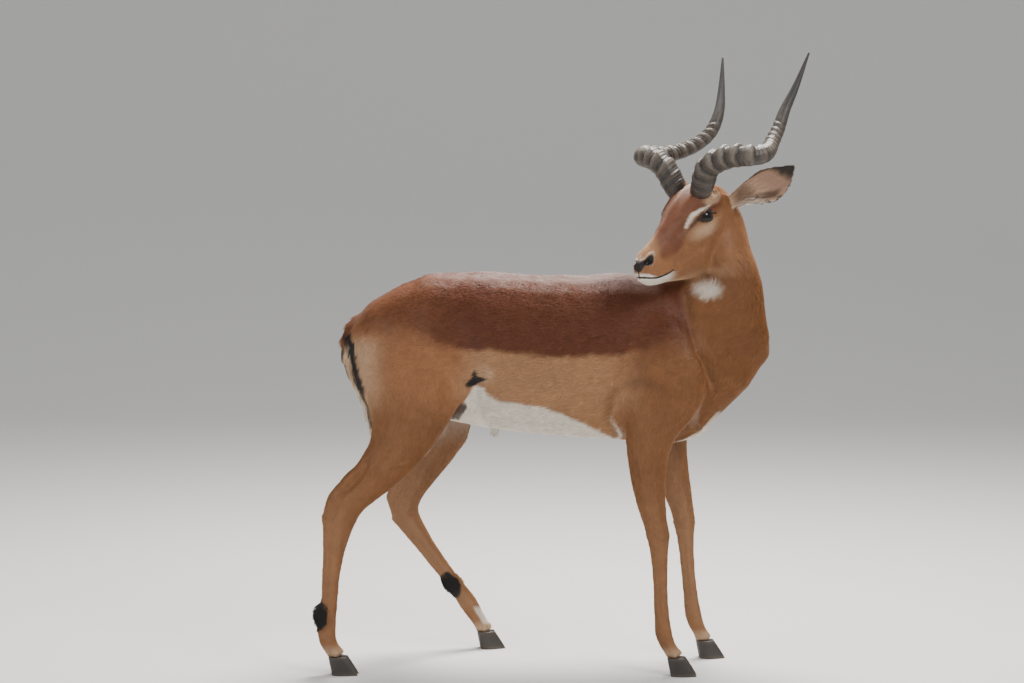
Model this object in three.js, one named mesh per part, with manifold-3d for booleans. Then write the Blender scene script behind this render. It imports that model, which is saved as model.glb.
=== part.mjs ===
// A life-size impala ram (Aepyceros melampus), a still model standing on all four feet: the left
// hind foot set forward, the head turned back over the right shoulder.
// Millimetres, +Z up, +X the way the trunk faces, +Y the animal's left, soles on the plane Z = 0.
//
// Flesh is built whole from lofts, each a section swept through a few stations, and is then parted
// into head, jaw, neck, trunk, legs and cannons by cuts GAP wide. Eyes, ears, horns, claws and tail
// are solids of their own, let into it with the same gap.

import * as THREE from "three";
import { mergeVertices } from "three/addons/utils/BufferGeometryUtils.js";
import Module from "manifold-3d";

const wasm = await Module();
wasm.setup();

// ---------------------------------------------------------------- driving dimensions

const GAP = 0.4; // clear space between two neighbouring pieces

const WITHERS = 828; // height of the back over the shoulders
const CROUP = 834; // height of the back over the hips
const CHEST_WIDTH = 248;
const FORE_STANCE = 85; // a fore foot's distance from the middle plane
const HIND_STANCE = 75; // the right hind foot's
const HOOF_HEIGHT = 38; // top of the hooves over the ground
const CLAW_SPACING = 20.4; // between the middles of a hoof's two claws
const EAR_LENGTH = 140;

const HEAD = {
  at: [262, -70, 943], // midway between the eyes
  yaw: 225, // the way the nose points, turned from +X towards +Y
  pitch: 13.5, // nose down
};
const EYE = { x: 3, y: 42.5, z: -2, radius: 18 };

const turned = THREE.MathUtils.degToRad;

// ---------------------------------------------------------------- lofts

// A value that passes smoothly through a list of numbers, as t runs from 0 to 1 along it.
function smooth(values, t) {
  const last = values.length - 1;
  const i = Math.min(Math.floor(t * last), last - 1);
  const f = t * last - i;
  const at = (k) => values[THREE.MathUtils.clamp(k, 0, last)];
  const start = (at(i + 1) - at(i - 1)) / 2;
  const end = (at(i + 2) - at(i)) / 2;
  return (
    (2 * f ** 3 - 3 * f ** 2 + 1) * at(i) +
    (f ** 3 - 2 * f ** 2 + f) * start +
    (3 * f ** 2 - 2 * f ** 3) * at(i + 1) +
    (f ** 3 - f ** 2) * end
  );
}

// An oval section: half-width `side`, reaching `up` and `down` from its centre line. A squareness of
// 2 is an ellipse, more is boxier.
function oval({ up, down, side, square = 2 }, grow, sides) {
  return Array.from({ length: sides }, (_, k) => {
    const a = (k / sides) * 2 * Math.PI;
    const [c, s] = [Math.cos(a), Math.sin(a)];
    const reach = s > 0 ? up : down;
    return [
      (side + grow) * Math.sign(c) * Math.abs(c) ** (2 / square),
      (reach + grow) * Math.sign(s) * Math.abs(s) ** (2 / square),
    ];
  });
}

// Joins rings of points into one closed surface, with a fan at each end.
function closed(rings) {
  const sides = rings[0].length;
  const position = rings.flat().flatMap((p) => [p.x, p.y, p.z]);
  const index = [];
  for (let r = 0; r < rings.length - 1; r += 1) {
    for (let k = 0; k < sides; k += 1) {
      const a = r * sides + k;
      const b = r * sides + ((k + 1) % sides);
      index.push(a, b, b + sides, a, b + sides, a + sides);
    }
  }
  for (const r of [0, rings.length - 1]) {
    const middle = new THREE.Vector3();
    rings[r].forEach((p) => middle.addScaledVector(p, 1 / sides));
    const hub = position.length / 3;
    position.push(middle.x, middle.y, middle.z);
    for (let k = 0; k < sides; k += 1) {
      const a = r * sides + k;
      const b = r * sides + ((k + 1) % sides);
      index.push(...(r ? [hub, a, b] : [hub, b, a]));
    }
  }
  const geometry = new THREE.BufferGeometry();
  geometry.setAttribute("position", new THREE.Float32BufferAttribute(position, 3));
  geometry.setIndex(index);
  return geometry;
}

// Sweeps a section through stations, each with its centre `at`, the section's sizes, and `turn`, the
// angle of the section's sideways axis from +Y. `across` is that axis where it isn't level. `caps`
// rounds the two ends off over those lengths.
function loft(stations, { sides, rings, section = oval, caps = [0, 0], across, grow = 0 }) {
  const curve = new THREE.CatmullRomCurve3(
    stations.map((s) => new THREE.Vector3(...s.at)),
    false,
    "catmullrom",
    0.5,
  );
  const keys = Object.keys(stations[0]).filter((key) => key !== "at");
  const made = [];
  const addRing = (t, scale = 1, beyond = 0) => {
    const size = Object.fromEntries(keys.map((key) => [key, smooth(stations.map((s) => s[key]), t)]));
    const turn = turned(size.turn ?? 0);
    const along = curve.getTangent(t);
    const side = across?.clone() ?? new THREE.Vector3(-Math.sin(turn), Math.cos(turn), 0);
    side.addScaledVector(along, -side.dot(along)).normalize();
    const up = new THREE.Vector3().crossVectors(along, side);
    const outline = section(size, grow, sides);
    const centre = [0, 1].map((axis) => outline.reduce((sum, p) => sum + p[axis], 0) / sides);
    const from = curve.getPoint(t).addScaledVector(along, beyond);
    made.push(
      outline.map(([x, y]) =>
        from
          .clone()
          .addScaledVector(side, centre[0] + (x - centre[0]) * scale)
          .addScaledVector(up, centre[1] + (y - centre[1]) * scale),
      ),
    );
  };
  const capAngles = [0.14, 0.42, 0.7].map((share) => (share * Math.PI) / 2);
  if (caps[0]) capAngles.forEach((a) => addRing(0, Math.sin(a), -(caps[0] + grow) * Math.cos(a)));
  for (let r = 0; r <= rings; r += 1) addRing(r / rings);
  capAngles.reverse();
  if (caps[1]) capAngles.forEach((a) => addRing(1, Math.sin(a), (caps[1] + grow) * Math.cos(a)));
  return closed(made);
}

// ---------------------------------------------------------------- solids and cuts

// A geometry as a solid that can be joined and cut. A mirrored one is turned to face out again.
function solidOf(geometry) {
  const bare = geometry.index ? geometry.toNonIndexed() : geometry.clone();
  bare.deleteAttribute("normal");
  bare.deleteAttribute("uv");
  const { attributes, index } = mergeVertices(bare, 1e-3);
  const made = (triVerts) =>
    new wasm.Manifold(
      new wasm.Mesh({ numProp: 3, vertProperties: attributes.position.array, triVerts }),
    );
  const solid = made(new Uint32Array(index.array));
  return solid.volume() > 0 ? solid : made(new Uint32Array(index.array).reverse());
}

const largest = (solid) => solid.decompose().reduce((a, b) => (b.volume() > a.volume() ? b : a));

function geometryOf(solid) {
  const { vertProperties, triVerts } = solid.getMesh();
  const geometry = new THREE.BufferGeometry();
  geometry.setAttribute("position", new THREE.BufferAttribute(vertProperties, 3));
  geometry.setIndex(new THREE.BufferAttribute(triVerts, 1));
  geometry.computeVertexNormals();
  return geometry;
}

// Parts a solid across a plane through `at`: first the side that `normal` points to.
function parted(solid, at, normal) {
  const n = new THREE.Vector3(...normal).normalize();
  const offset = n.dot(new THREE.Vector3(...at));
  return [
    solid.trimByPlane(n.toArray(), offset + GAP / 2),
    solid.trimByPlane(n.clone().negate().toArray(), GAP / 2 - offset),
  ];
}

// A prism with straight walls: an outline in the XZ plane, reaching from `near` to `far` along Y.
function prism(outline, near, far) {
  const shape = new THREE.Shape(outline.map(([x, z]) => new THREE.Vector2(x, z)));
  const block = new THREE.ExtrudeGeometry(shape, { depth: Math.abs(far - near), bevelEnabled: false });
  block.rotateX(Math.PI / 2);
  block.translate(0, Math.max(near, far), 0);
  return block;
}

// An outline with every edge moved out by `grow`, its points listed anticlockwise.
function widened(outline, grow) {
  return outline.map(([x, z], k) => {
    const before = outline.at(k - 1);
    const after = outline[(k + 1) % outline.length];
    const a = new THREE.Vector2(z - before[1], before[0] - x).normalize();
    const b = new THREE.Vector2(after[1] - z, x - after[0]).normalize();
    const out = a.clone().add(b);
    out.multiplyScalar(grow / (1 + a.dot(b)));
    return [x + out.x, z + out.y];
  });
}

// ---------------------------------------------------------------- trunk, neck and tail

// A slice of the trunk: from `top` to `bottom`, widest at the height `level`.
const slice = (x, top, bottom, level, width, square = 2.15) => ({
  at: [x, 0, level],
  up: top - level,
  down: level - bottom,
  side: width / 2,
  square,
});

const trunkWhole = loft(
  [
    slice(-428, 712, 640, 685, 66),
    slice(-395, 750, 596, 690, 152),
    slice(-335, 794, 560, 698, 206),
    slice(-235, CROUP, 522, 695, CHEST_WIDTH - 16),
    slice(-120, 827, 497, 660, CHEST_WIDTH - 8),
    slice(0, 820, 483, 640, CHEST_WIDTH),
    slice(110, 826, 477, 632, CHEST_WIDTH - 12),
    slice(200, WITHERS - 6, 466, 640, CHEST_WIDTH - 34),
    slice(285, 790, 482, 645, 184),
    slice(345, 745, 554, 650, 146),
    slice(404, 742, 628, 676, 88),
  ],
  { sides: 20, rings: 15, caps: [14, 34] },
);

const neckWhole = loft(
  [
    { at: [236, 0, 646], turn: 0, up: 114, down: 134, side: 84 },
    { at: [306, 0, 752], turn: -12, up: 150, down: 161, side: 80 },
    { at: [343, -8, 815], turn: -45, up: 90, down: 97, side: 62 },
    { at: [338, -14, 868], turn: -88, up: 76, down: 74, side: 60 },
    { at: [330, -16, 916], turn: -118, up: 68, down: 66, side: 53 },
    { at: [318, -25, 962], turn: -135, up: 52, down: 54, side: 44 },
  ],
  { sides: 16, rings: 12, caps: [30, 20] },
);

const tail = (grow = 0) =>
  loft(
    [
      { at: [-402, 0, 732], up: 14, down: 19, side: 20 },
      { at: [-430, 0, 700], up: 13, down: 20, side: 21 },
      { at: [-436, 0, 652], up: 12, down: 18, side: 21 },
      { at: [-421, 0, 600], up: 12, down: 13, side: 23 },
      { at: [-398, 0, 545], up: 12, down: 14, side: 25 },
      { at: [-384, 0, 490], up: 10, down: 12, side: 20 },
    ],
    { sides: 8, rings: 8, caps: [10, 30], grow },
  );

// ---------------------------------------------------------------- legs

// A slice of a leg: its centre, and its reach to the front, to the back and to each side.
const limb = (x, y, z, front, back, side) => ({ at: [x, y, z], up: front, down: back, side });

// Each leg runs from inside the trunk down to the coronet. `joint` is where the cannon starts, and
// `field` the outline in the XZ plane within which the flesh belongs to the leg.
const HIND_FIELD = [
  [-560, -20],
  [-120, -20],
  [-120, 480],
  [-182, 600],
  [-232, 690],
  [-330, 726],
  [-408, 700],
  [-560, 560],
];
const FORE_FIELD = [
  [100, -20],
  [400, -20],
  [330, 420],
  [290, 530],
  [304, 612],
  [262, 700],
  [228, 762],
  [170, 740],
  [126, 610],
  [112, 500],
];

const LEGS = {
  hind_right: {
    upper: [
      limb(-296, -50, 712, 66, 98, 34),
      limb(-298, -68, 665, 112, 128, 51),
      limb(-298, -75, 590, 112, 118, 52),
      limb(-306, -76, 525, 80, 84, 46),
      limb(-334, -75, 458, 54, 62, 36),
      limb(-384, -75, 402, 42, 46, 27),
      limb(-428, -75, 362, 38, 46, 22),
      limb(-450, -75, 326, 38, 39, 21),
    ],
    lower: [
      limb(-450, -75, 326, 38, 39, 21),
      limb(-458, -75, 282, 30, 28, 17),
      limb(-466, -75, 225, 22, 21, 13),
      limb(-470, -75, 160, 19, 20, 12.5),
      limb(-474, -75, 112, 19, 21, 13.5),
      limb(-477, -76, 80, 21, 22, 16.5),
      limb(-467, -77, 56, 16, 17, 14.5),
      limb(-455, -78, HOOF_HEIGHT, 20, 18, 18),
    ],
    joint: { at: [-450, -75, 326], normal: [0.2, 0, 1] },
    toe: -3,
    gland: { at: [-492, -78, 126], lean: -4 },
    field: HIND_FIELD,
    inside: 23,
  },
  hind_left: {
    upper: [
      limb(-296, 50, 712, 66, 96, 34),
      limb(-288, 66, 662, 108, 126, 50),
      limb(-262, 78, 585, 98, 110, 52),
      limb(-238, 88, 520, 70, 82, 46),
      limb(-258, 100, 455, 52, 57, 36),
      limb(-292, 115, 392, 38, 46, 27),
      limb(-320, 128, 342, 32, 50, 22),
      limb(-328, 134, 305, 33, 32, 21),
    ],
    lower: [
      limb(-328, 134, 305, 33, 32, 21),
      limb(-303, 142, 262, 26, 24, 17),
      limb(-264, 153, 205, 20, 19, 13),
      limb(-224, 166, 150, 19, 20, 12.5),
      limb(-202, 174, 120, 19, 21, 13.5),
      limb(-186, 180, 94, 21, 22, 16.5),
      limb(-168, 184, 64, 16, 17, 14.5),
      limb(-154, 187, HOOF_HEIGHT, 20, 18, 18),
    ],
    joint: { at: [-328, 134, 305], normal: [-0.3, 0, 1] },
    toe: 8,
    gland: { at: [-232, 157, 146], lean: 37 },
    field: HIND_FIELD,
    inside: 23,
  },
  fore_right: {
    upper: [
      limb(196, -52, 745, 44, 48, 30),
      limb(212, -74, 690, 84, 88, 38),
      limb(216, -85, 620, 96, 94, 41),
      limb(202, -FORE_STANCE - 4, 560, 82, 82, 40),
      limb(186, -FORE_STANCE - 3, 500, 56, 56, 34),
      limb(181, -FORE_STANCE - 1, 440, 42, 42, 29),
      limb(186, -FORE_STANCE, 380, 35, 36, 25),
      limb(195, -FORE_STANCE, 328, 27, 28, 22),
      limb(203, -FORE_STANCE, 290, 26, 24, 22),
    ],
    lower: [
      limb(203, -FORE_STANCE, 290, 26, 24, 22),
      limb(206, -FORE_STANCE, 252, 20, 20, 17),
      limb(208, -FORE_STANCE, 200, 16.5, 16.5, 13),
      limb(210, -FORE_STANCE, 150, 16.5, 16.5, 13),
      limb(213, -FORE_STANCE, 110, 17.5, 18, 14),
      limb(217, -86, 80, 19, 19.5, 16),
      limb(229, -87, 56, 15, 16, 13.5),
      limb(240, -88, HOOF_HEIGHT, 19, 17, 17),
    ],
    joint: { at: [203, -FORE_STANCE, 290], normal: [0, 0, 1] },
    toe: -4,
    field: FORE_FIELD,
    inside: 42,
  },
  fore_left: {
    upper: [
      limb(196, 52, 745, 44, 48, 30),
      limb(220, 74, 690, 84, 88, 38),
      limb(228, 84, 620, 92, 94, 41),
      limb(230, 88, 560, 74, 82, 40),
      limb(233, 86, 500, 48, 56, 34),
      limb(240, 84, 440, 37, 42, 29),
      limb(252, 83, 380, 32, 36, 25),
      limb(263, 82, 330, 27, 28, 22),
      limb(270, 82, 294, 25, 24, 21),
    ],
    lower: [
      limb(270, 82, 294, 25, 24, 21),
      limb(273, 82, 256, 19, 19, 17),
      limb(277, 83, 204, 16.5, 16.5, 13),
      limb(282, 84, 154, 16.5, 16.5, 13),
      limb(287, 85, 115, 17.5, 18, 14),
      limb(292, 86, 86, 19, 19.5, 16),
      limb(303, 87, 60, 15, 16, 13.5),
      limb(314, 88, HOOF_HEIGHT, 19, 17, 17),
    ],
    joint: { at: [270, 82, 294], normal: [0, 0, 1] },
    toe: 4,
    field: FORE_FIELD,
    inside: 42,
  },
};

const upperLeg = ({ upper }) => loft(upper, { sides: 12, rings: 10, caps: [20, 14] });

const lowerLeg = ({ lower }) => loft(lower, { sides: 8, rings: 9, caps: [14, 0] });

// The tuft of hair over the gland at the back of each hind cannon.
function glandTuft({ at, lean }) {
  const tuft = new THREE.SphereGeometry(1, 8, 6);
  tuft.scale(17, 11, 27);
  tuft.rotateY(turned(-lean));
  return tuft.translate(...at);
}

// One claw of a hoof, from inside the coronet to its flat sole. `out` is +1 for the one on the left.
function claw({ lower, toe }, out, grow = 0) {
  const [x, y] = lower.at(-1).at;
  const [c, s] = [Math.cos(turned(toe)), Math.sin(turned(toe))];
  const sidestep = (out * CLAW_SPACING) / 2;
  const slab = (forward, z, front, side) => ({
    at: [x + forward * c - sidestep * s, y + forward * s + sidestep * c, z],
    turn: toe,
    up: front,
    down: 19,
    side,
  });
  const wall = loft(
    [
      slab(2, HOOF_HEIGHT + grow, 18, 8.4),
      slab(4, 26, 24, 9.2),
      slab(7, 12, 30, 9.8),
      slab(9, 0, 35, 9.4),
    ],
    { sides: 8, rings: 2, grow },
  );
  return parted(solidOf(wall), [0, 0, -GAP / 2], [0, 0, 1])[0];
}

// ---------------------------------------------------------------- head

// The head's own frame: x towards the nose along the jaw, y to its left, z to the crown.
const headFrame = new THREE.Matrix4()
  .makeTranslation(...HEAD.at)
  .multiply(new THREE.Matrix4().makeRotationZ(turned(HEAD.yaw)))
  .multiply(new THREE.Matrix4().makeRotationY(turned(HEAD.pitch)));

const inHead = (geometry) => solidOf(geometry.applyMatrix4(headFrame));

// A section of the head: a closed curve over the crown and through the brow, eye, cheek and jaw of
// each side, every one at its own share of the section's height.
const LEVELS = { brow: 0.88, eye: 0.62, cheek: 0.34, jaw: 0.07 };

function faceSection({ top, bottom, ...widths }, grow, sides) {
  const right = Object.entries(LEVELS).map(([name, share]) => [
    -widths[name] - grow,
    bottom + share * (top - bottom) + (share - 0.5) * 2 * grow,
    0,
  ]);
  const left = right.map(([x, y, z]) => [-x, y, z]).reverse();
  const outline = [[0, top + grow, 0], ...right, [0, bottom - grow, 0], ...left];
  const curve = new THREE.CatmullRomCurve3(
    outline.map((p) => new THREE.Vector3(...p)),
    true,
    "centripetal",
  );
  return Array.from({ length: sides }, (_, k) => curve.getPoint(k / sides).toArray());
}

const face = (x, top, bottom, brow, eye, cheek, jaw) => ({
  at: [x, 0, 0],
  top,
  bottom,
  brow,
  eye,
  cheek,
  jaw,
});

const skull = (grow = 0) =>
  inHead(
    loft(
      [
        face(-112, 20, -56, 26, 36, 32, 20),
        face(-84, 48, -94, 40, 50, 44, 24),
        face(-50, 60, -114, 48, 58, 48, 26),
        face(-18, 61, -124, 50, 61, 49, 26),
        face(12, 53, -128, 43, 57, 47, 25),
        face(40, 36, -126, 32, 44, 42, 24),
        face(70, 13, -120, 22, 32, 34, 22),
        face(100, -7, -115, 17, 26, 28, 19),
        face(128, -22, -113, 16, 24, 26, 17),
        face(150, -34, -109, 17, 25, 24, 14),
        face(163, -44, -101, 14, 21, 19, 11),
      ],
      { sides: 16, rings: 13, section: faceSection, caps: [12, 11], grow },
    ),
  );

// Everything ahead of the poll and the throat, in the head's frame.
const HEAD_FIELD = [
  [240, 120],
  [-135, 120],
  [-106, 40],
  [-58, -100],
  [-30, -131],
  [50, -131],
  [95, -122],
  [240, -118],
];

const headField = (grow) => inHead(prism(widened(HEAD_FIELD, grow), -76 - grow, 76 + grow));

// Everything of the head below the line of the mouth and ahead of its corner.
const MOUTH = [
  [230, -96],
  [160, -95],
  [125, -93],
  [97, -88],
  [66, -112],
  [46, -160],
  [230, -160],
];

const jawField = (grow) => inHead(prism(widened(MOUTH, grow), -60, 60));

const eyeball = (side, grow = 0) => {
  const ball = new THREE.SphereGeometry(EYE.radius + grow, 12, 7);
  ball.rotateX(Math.PI / 2);
  return inHead(ball.translate(EYE.x, side * EYE.y, EYE.z));
};

// The almond-shaped hollow around the eye.
const socket = (side) => {
  const almond = new THREE.SphereGeometry(1, 10, 5);
  almond.scale(23, 12, 14);
  almond.rotateY(turned(12));
  almond.rotateZ(side * turned(-16));
  return inHead(almond.translate(EYE.x + 4, side * (EYE.y + 18), EYE.z));
};

// An ear's section: a leaf cupped about its length, `cup` deep and `thick` through.
function earSection({ side, cup, thick }, grow, sides) {
  const half = sides / 2;
  const arc = (k, depth) => {
    const u = -1 + (2 * k) / (half - 1);
    return [-u * (side + grow), depth * (1 - u * u)];
  };
  const back = Array.from({ length: half }, (_, k) => arc(k, cup + thick));
  const front = Array.from({ length: half }, (_, k) => arc(half - 1 - k, cup));
  return [
    ...back.map(([x, y]) => [x, y - cup + grow]),
    ...front.map(([x, y]) => [x, y - cup - thick / 3 - grow]),
  ];
}

const ear = (side, grow = 0) => {
  const root = new THREE.Vector3(-88, side * 52, 11);
  const reach = new THREE.Vector3(-0.52, side * 0.76, 0.38).multiplyScalar(EAR_LENGTH);
  const leaf = (share, width, cup, thick, drop = 0) => ({
    at: root
      .clone()
      .addScaledVector(reach, share)
      .add(new THREE.Vector3(0, 0, -drop))
      .toArray(),
    side: width / 2,
    cup,
    thick,
  });
  return inHead(
    loft(
      [
        leaf(-0.06, 30, 8, 16),
        leaf(0.14, 40, 15, 10),
        leaf(0.34, 62, 17, 6, 3),
        leaf(0.55, 76, 15, 5, 8),
        leaf(0.76, 62, 10, 4.5, 8),
        leaf(0.92, 28, 4, 4, 3),
        leaf(1, 8, 1, 3.5),
      ],
      {
        sides: 10,
        rings: 8,
        section: earSection,
        across: new THREE.Vector3(0, 0, -side),
        grow,
      },
    ),
  );
};

// ---------------------------------------------------------------- horns

// A horn's centre line from its base: how far back, outward and up, level with the ground.
const HORN_LINE = [
  [4, -8, -34],
  [-2, 2, 10],
  [-8, 22, 48],
  [2, 62, 67],
  [18, 98, 70],
  [45, 108, 71],
  [78, 98, 75],
  [112, 80, 83],
  [143, 63, 98],
  [176, 52, 125],
  [200, 51, 166],
  [221, 62, 214],
  [244, 78, 284],
];
const HORN_RADII = [25, 25, 24.5, 24, 22, 19.5, 17.5, 16.2, 15.2, 14, 11.5, 7.5, 2];
const HORN_ROOT = new THREE.Vector3(-14, 37, 48); // in the head's frame, on its left
const RIDGES = { count: 15, from: 0.1, to: 0.79, swell: 0.06 };

const horn = (side) => {
  const root = HORN_ROOT.clone().multiply(new THREE.Vector3(1, side, 1)).applyMatrix4(headFrame);
  const yaw = turned(HEAD.yaw);
  const back = new THREE.Vector3(-Math.cos(yaw), -Math.sin(yaw), 0);
  const out = new THREE.Vector3(-Math.sin(yaw), Math.cos(yaw), 0).multiplyScalar(side);
  const line = new THREE.CatmullRomCurve3(
    HORN_LINE.map(([b, o, u]) =>
      root.clone().addScaledVector(back, b).addScaledVector(out, o).add(new THREE.Vector3(0, 0, u)),
    ),
  );
  const FRAMES = 200;
  const { normals, binormals } = line.computeFrenetFrames(FRAMES);
  const SIDES = 8;
  const ring = (t, swell = 0) => {
    const radius = smooth(HORN_RADII, t) * (1 + swell);
    const frame = Math.round(t * FRAMES);
    return Array.from({ length: SIDES }, (_, k) => {
      const a = (k / SIDES) * 2 * Math.PI;
      return line
        .getPoint(frame / FRAMES)
        .addScaledVector(normals[frame], radius * Math.cos(a))
        .addScaledVector(binormals[frame], radius * Math.sin(a));
    });
  };
  const rings = [ring(0)];
  const pitch = (RIDGES.to - RIDGES.from) / RIDGES.count;
  for (let k = 0; k < RIDGES.count; k += 1) {
    const t = RIDGES.from + k * pitch;
    rings.push(ring(t, -RIDGES.swell));
    rings.push(ring(t + pitch * 0.55, RIDGES.swell));
  }
  const SMOOTH_RINGS = 4;
  for (let k = 0; k <= SMOOTH_RINGS; k += 1) {
    rings.push(ring(RIDGES.to + ((1 - RIDGES.to) * k) / SMOOTH_RINGS));
  }
  return solidOf(closed(rings));
};

// ---------------------------------------------------------------- the animal, whole and parted

const solid = {};
const SIDES = { left: 1, right: -1 };

let flesh = solidOf(trunkWhole).add(solidOf(neckWhole)).add(skull());
for (const leg of Object.values(LEGS)) {
  flesh = flesh.add(solidOf(upperLeg(leg))).add(solidOf(lowerLeg(leg)));
  if (leg.gland) flesh = flesh.add(solidOf(glandTuft(leg.gland)));
}
solid.tail = solidOf(tail());
flesh = flesh.subtract(solidOf(tail(GAP)));

for (const [name, side] of Object.entries(SIDES)) {
  solid[`eye_${name}`] = eyeball(side);
  solid[`ear_${name}`] = ear(side);
  solid[`horn_${name}`] = horn(side).subtract(skull(GAP));
  flesh = flesh.subtract(eyeball(side, GAP)).subtract(socket(side)).subtract(ear(side, GAP));
}
const head = flesh.intersect(headField(0));
flesh = flesh.subtract(headField(GAP));
solid.lower_jaw = head.intersect(jawField(0));
solid.head = head.subtract(jawField(GAP));

for (const [name, leg] of Object.entries(LEGS)) {
  const side = SIDES[name.split("_")[1]];
  for (const [where, out] of Object.entries({ outer: side, inner: -side })) {
    solid[`${name}_claw_${where}`] = claw(leg, out);
    flesh = flesh.subtract(claw(leg, out, GAP));
  }
  const reach = (grow) => prism(widened(leg.field, grow), side * (leg.inside - grow), side * 320);
  const whole = flesh.intersect(solidOf(reach(0)));
  flesh = flesh.subtract(solidOf(reach(GAP)));
  const [upper, lower] = parted(whole, leg.joint.at, leg.joint.normal);
  solid[name] = upper;
  solid[`${name}_cannon`] = lower;
}
[solid.neck, solid.trunk] = parted(flesh, [318, 0, 640], [0.55, 0, 0.84]);

// ---------------------------------------------------------------- materials and the model

const LOOKS = {
  coat: { color: 0xa8703c, roughness: 0.75 },
  saddle: { color: 0x7a3f1f, roughness: 0.7 },
  horn: { color: 0x57504a, roughness: 0.6 },
  hoof: { color: 0x27231f, roughness: 0.5 },
  eye: { color: 0x120c08, roughness: 0.08 },
};

function lookOf(name) {
  if (name.startsWith("horn")) return LOOKS.horn;
  if (name.startsWith("eye")) return LOOKS.eye;
  if (name.includes("claw")) return LOOKS.hoof;
  return name === "trunk" ? LOOKS.saddle : LOOKS.coat;
}

const impala = new THREE.Group();
for (const [name, shape] of Object.entries(solid)) {
  const material = new THREE.MeshStandardMaterial({ ...lookOf(name), metalness: 0 });
  const mesh = new THREE.Mesh(geometryOf(largest(shape)), material);
  mesh.name = name;
  impala.add(mesh);
}
// The origin is on the ground, under the middle of the whole animal's box.
const { x, y } = new THREE.Box3().setFromObject(impala).getCenter(new THREE.Vector3());
impala.position.set(-x, -y, 0);

export default impala;
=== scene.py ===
"""A life-size impala ram: one skin with its coat in tufts, eyes, ridged horns and hooves.

Shapes are worked out in millimetres in the modelling frame (x the way the trunk faces, y the
animal's left, soles on z = 0) and written to meshes in metres in the row's frame.
"""
import math

import bmesh
import bpy
import numpy as np
from mathutils import Matrix, Vector
from mathutils.bvhtree import BVHTree
from mathutils.kdtree import KDTree


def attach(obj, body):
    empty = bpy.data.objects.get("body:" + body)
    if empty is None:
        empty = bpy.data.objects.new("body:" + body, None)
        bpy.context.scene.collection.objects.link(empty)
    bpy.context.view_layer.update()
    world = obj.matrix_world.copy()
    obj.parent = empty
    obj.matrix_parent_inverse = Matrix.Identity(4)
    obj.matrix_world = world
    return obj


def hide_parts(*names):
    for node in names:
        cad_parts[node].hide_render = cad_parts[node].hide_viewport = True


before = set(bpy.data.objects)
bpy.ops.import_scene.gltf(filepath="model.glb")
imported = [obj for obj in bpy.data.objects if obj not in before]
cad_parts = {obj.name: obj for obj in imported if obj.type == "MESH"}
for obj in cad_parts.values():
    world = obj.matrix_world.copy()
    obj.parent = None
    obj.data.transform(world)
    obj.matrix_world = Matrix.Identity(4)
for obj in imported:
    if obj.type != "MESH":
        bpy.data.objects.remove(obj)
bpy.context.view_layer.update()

RNG = np.random.default_rng(20)

MM = 0.001
ORIGIN = np.array((5.22, 10.27, 0.0))  # the row's origin in the modelling frame, mm

# ---------------------------------------------------------------- the CAD nodes

LEG_NAMES = ("fore_left", "fore_right", "hind_left", "hind_right")
FLESH = ["trunk", "neck", "head", "lower_jaw", "tail", "ear_left", "ear_right"]
FLESH += [leg + part for leg in LEG_NAMES for part in ("", "_cannon")]
ALL_FLESH = FLESH + ["eye_left", "eye_right"]

# ---------------------------------------------------------------- the head's own frame

HEAD_AT = np.array((262.0, -70.0, 943.0))
HEAD_YAW, HEAD_PITCH = math.radians(225), math.radians(13.5)
EYE_X, EYE_Y, EYE_Z, EYE_R = 3.0, 42.5, -2.0, 18.0


def rotation(axis, angle):
    return np.array(Matrix.Rotation(angle, 3, axis))


HEAD_TURN = rotation("Z", HEAD_YAW) @ rotation("Y", HEAD_PITCH)


def to_head(points):
    return (points - HEAD_AT) @ HEAD_TURN


def from_head(points):
    return np.asarray(points, float) @ HEAD_TURN.T + HEAD_AT


# ---------------------------------------------------------------- numbers and noise


def step(low, high, value):
    """0 below `low`, 1 above `high`, smooth between them."""
    t = np.clip((value - low) / (high - low), 0, 1)
    return t * t * (3 - 2 * t)


def unit(vectors):
    return vectors / np.maximum(np.linalg.norm(vectors, axis=-1, keepdims=True), 1e-9)


def dot(a, b):
    return np.sum(a * b, axis=-1)


def noise(points, size, seed):
    """Smooth noise from -1 to 1 with features `size` millimetres across."""
    q = points / size + 31.7 * seed
    cell = np.floor(q).astype(np.int64)
    f = q - cell
    f = f * f * (3 - 2 * f)
    total = np.zeros(len(q))
    for corner in np.ndindex(2, 2, 2):
        c = cell + np.array(corner)
        h = (c[:, 0] * 73856093) ^ (c[:, 1] * 19349663) ^ (c[:, 2] * 83492791) ^ (seed * 374761393)
        h = ((h ^ (h >> 13)) * 1274126177) & 0x7FFFFFFF
        value = ((h ^ (h >> 15)) & 0xFFFF) / 32767.5 - 1
        weight = np.prod(np.where(corner, f, 1 - f), axis=1)
        total += value * weight
    return total


def smooth_list(values, t):
    """Catmull-Rom values along a list (rows of numbers), for t from 0 to 1."""
    values = np.asarray(values, float)
    last = len(values) - 1
    t = np.atleast_1d(t)
    i = np.minimum(np.floor(t * last).astype(int), last - 1)
    f = (t * last - i).reshape((-1,) + (1,) * (values.ndim - 1))
    at = lambda k: values[np.clip(k, 0, last)]
    before = np.where((i == 0).reshape(f.shape), 2 * at(i) - at(i + 1), at(i - 1))
    after = np.where((i == last - 1).reshape(f.shape), 2 * at(i + 1) - at(i), at(i + 2))
    start, end = (at(i + 1) - before) / 2, (after - at(i)) / 2
    return (
        (2 * f**3 - 3 * f**2 + 1) * at(i)
        + (f**3 - 2 * f**2 + f) * start
        + (3 * f**2 - 2 * f**3) * at(i + 1)
        + (f**3 - f**2) * end
    )


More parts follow.
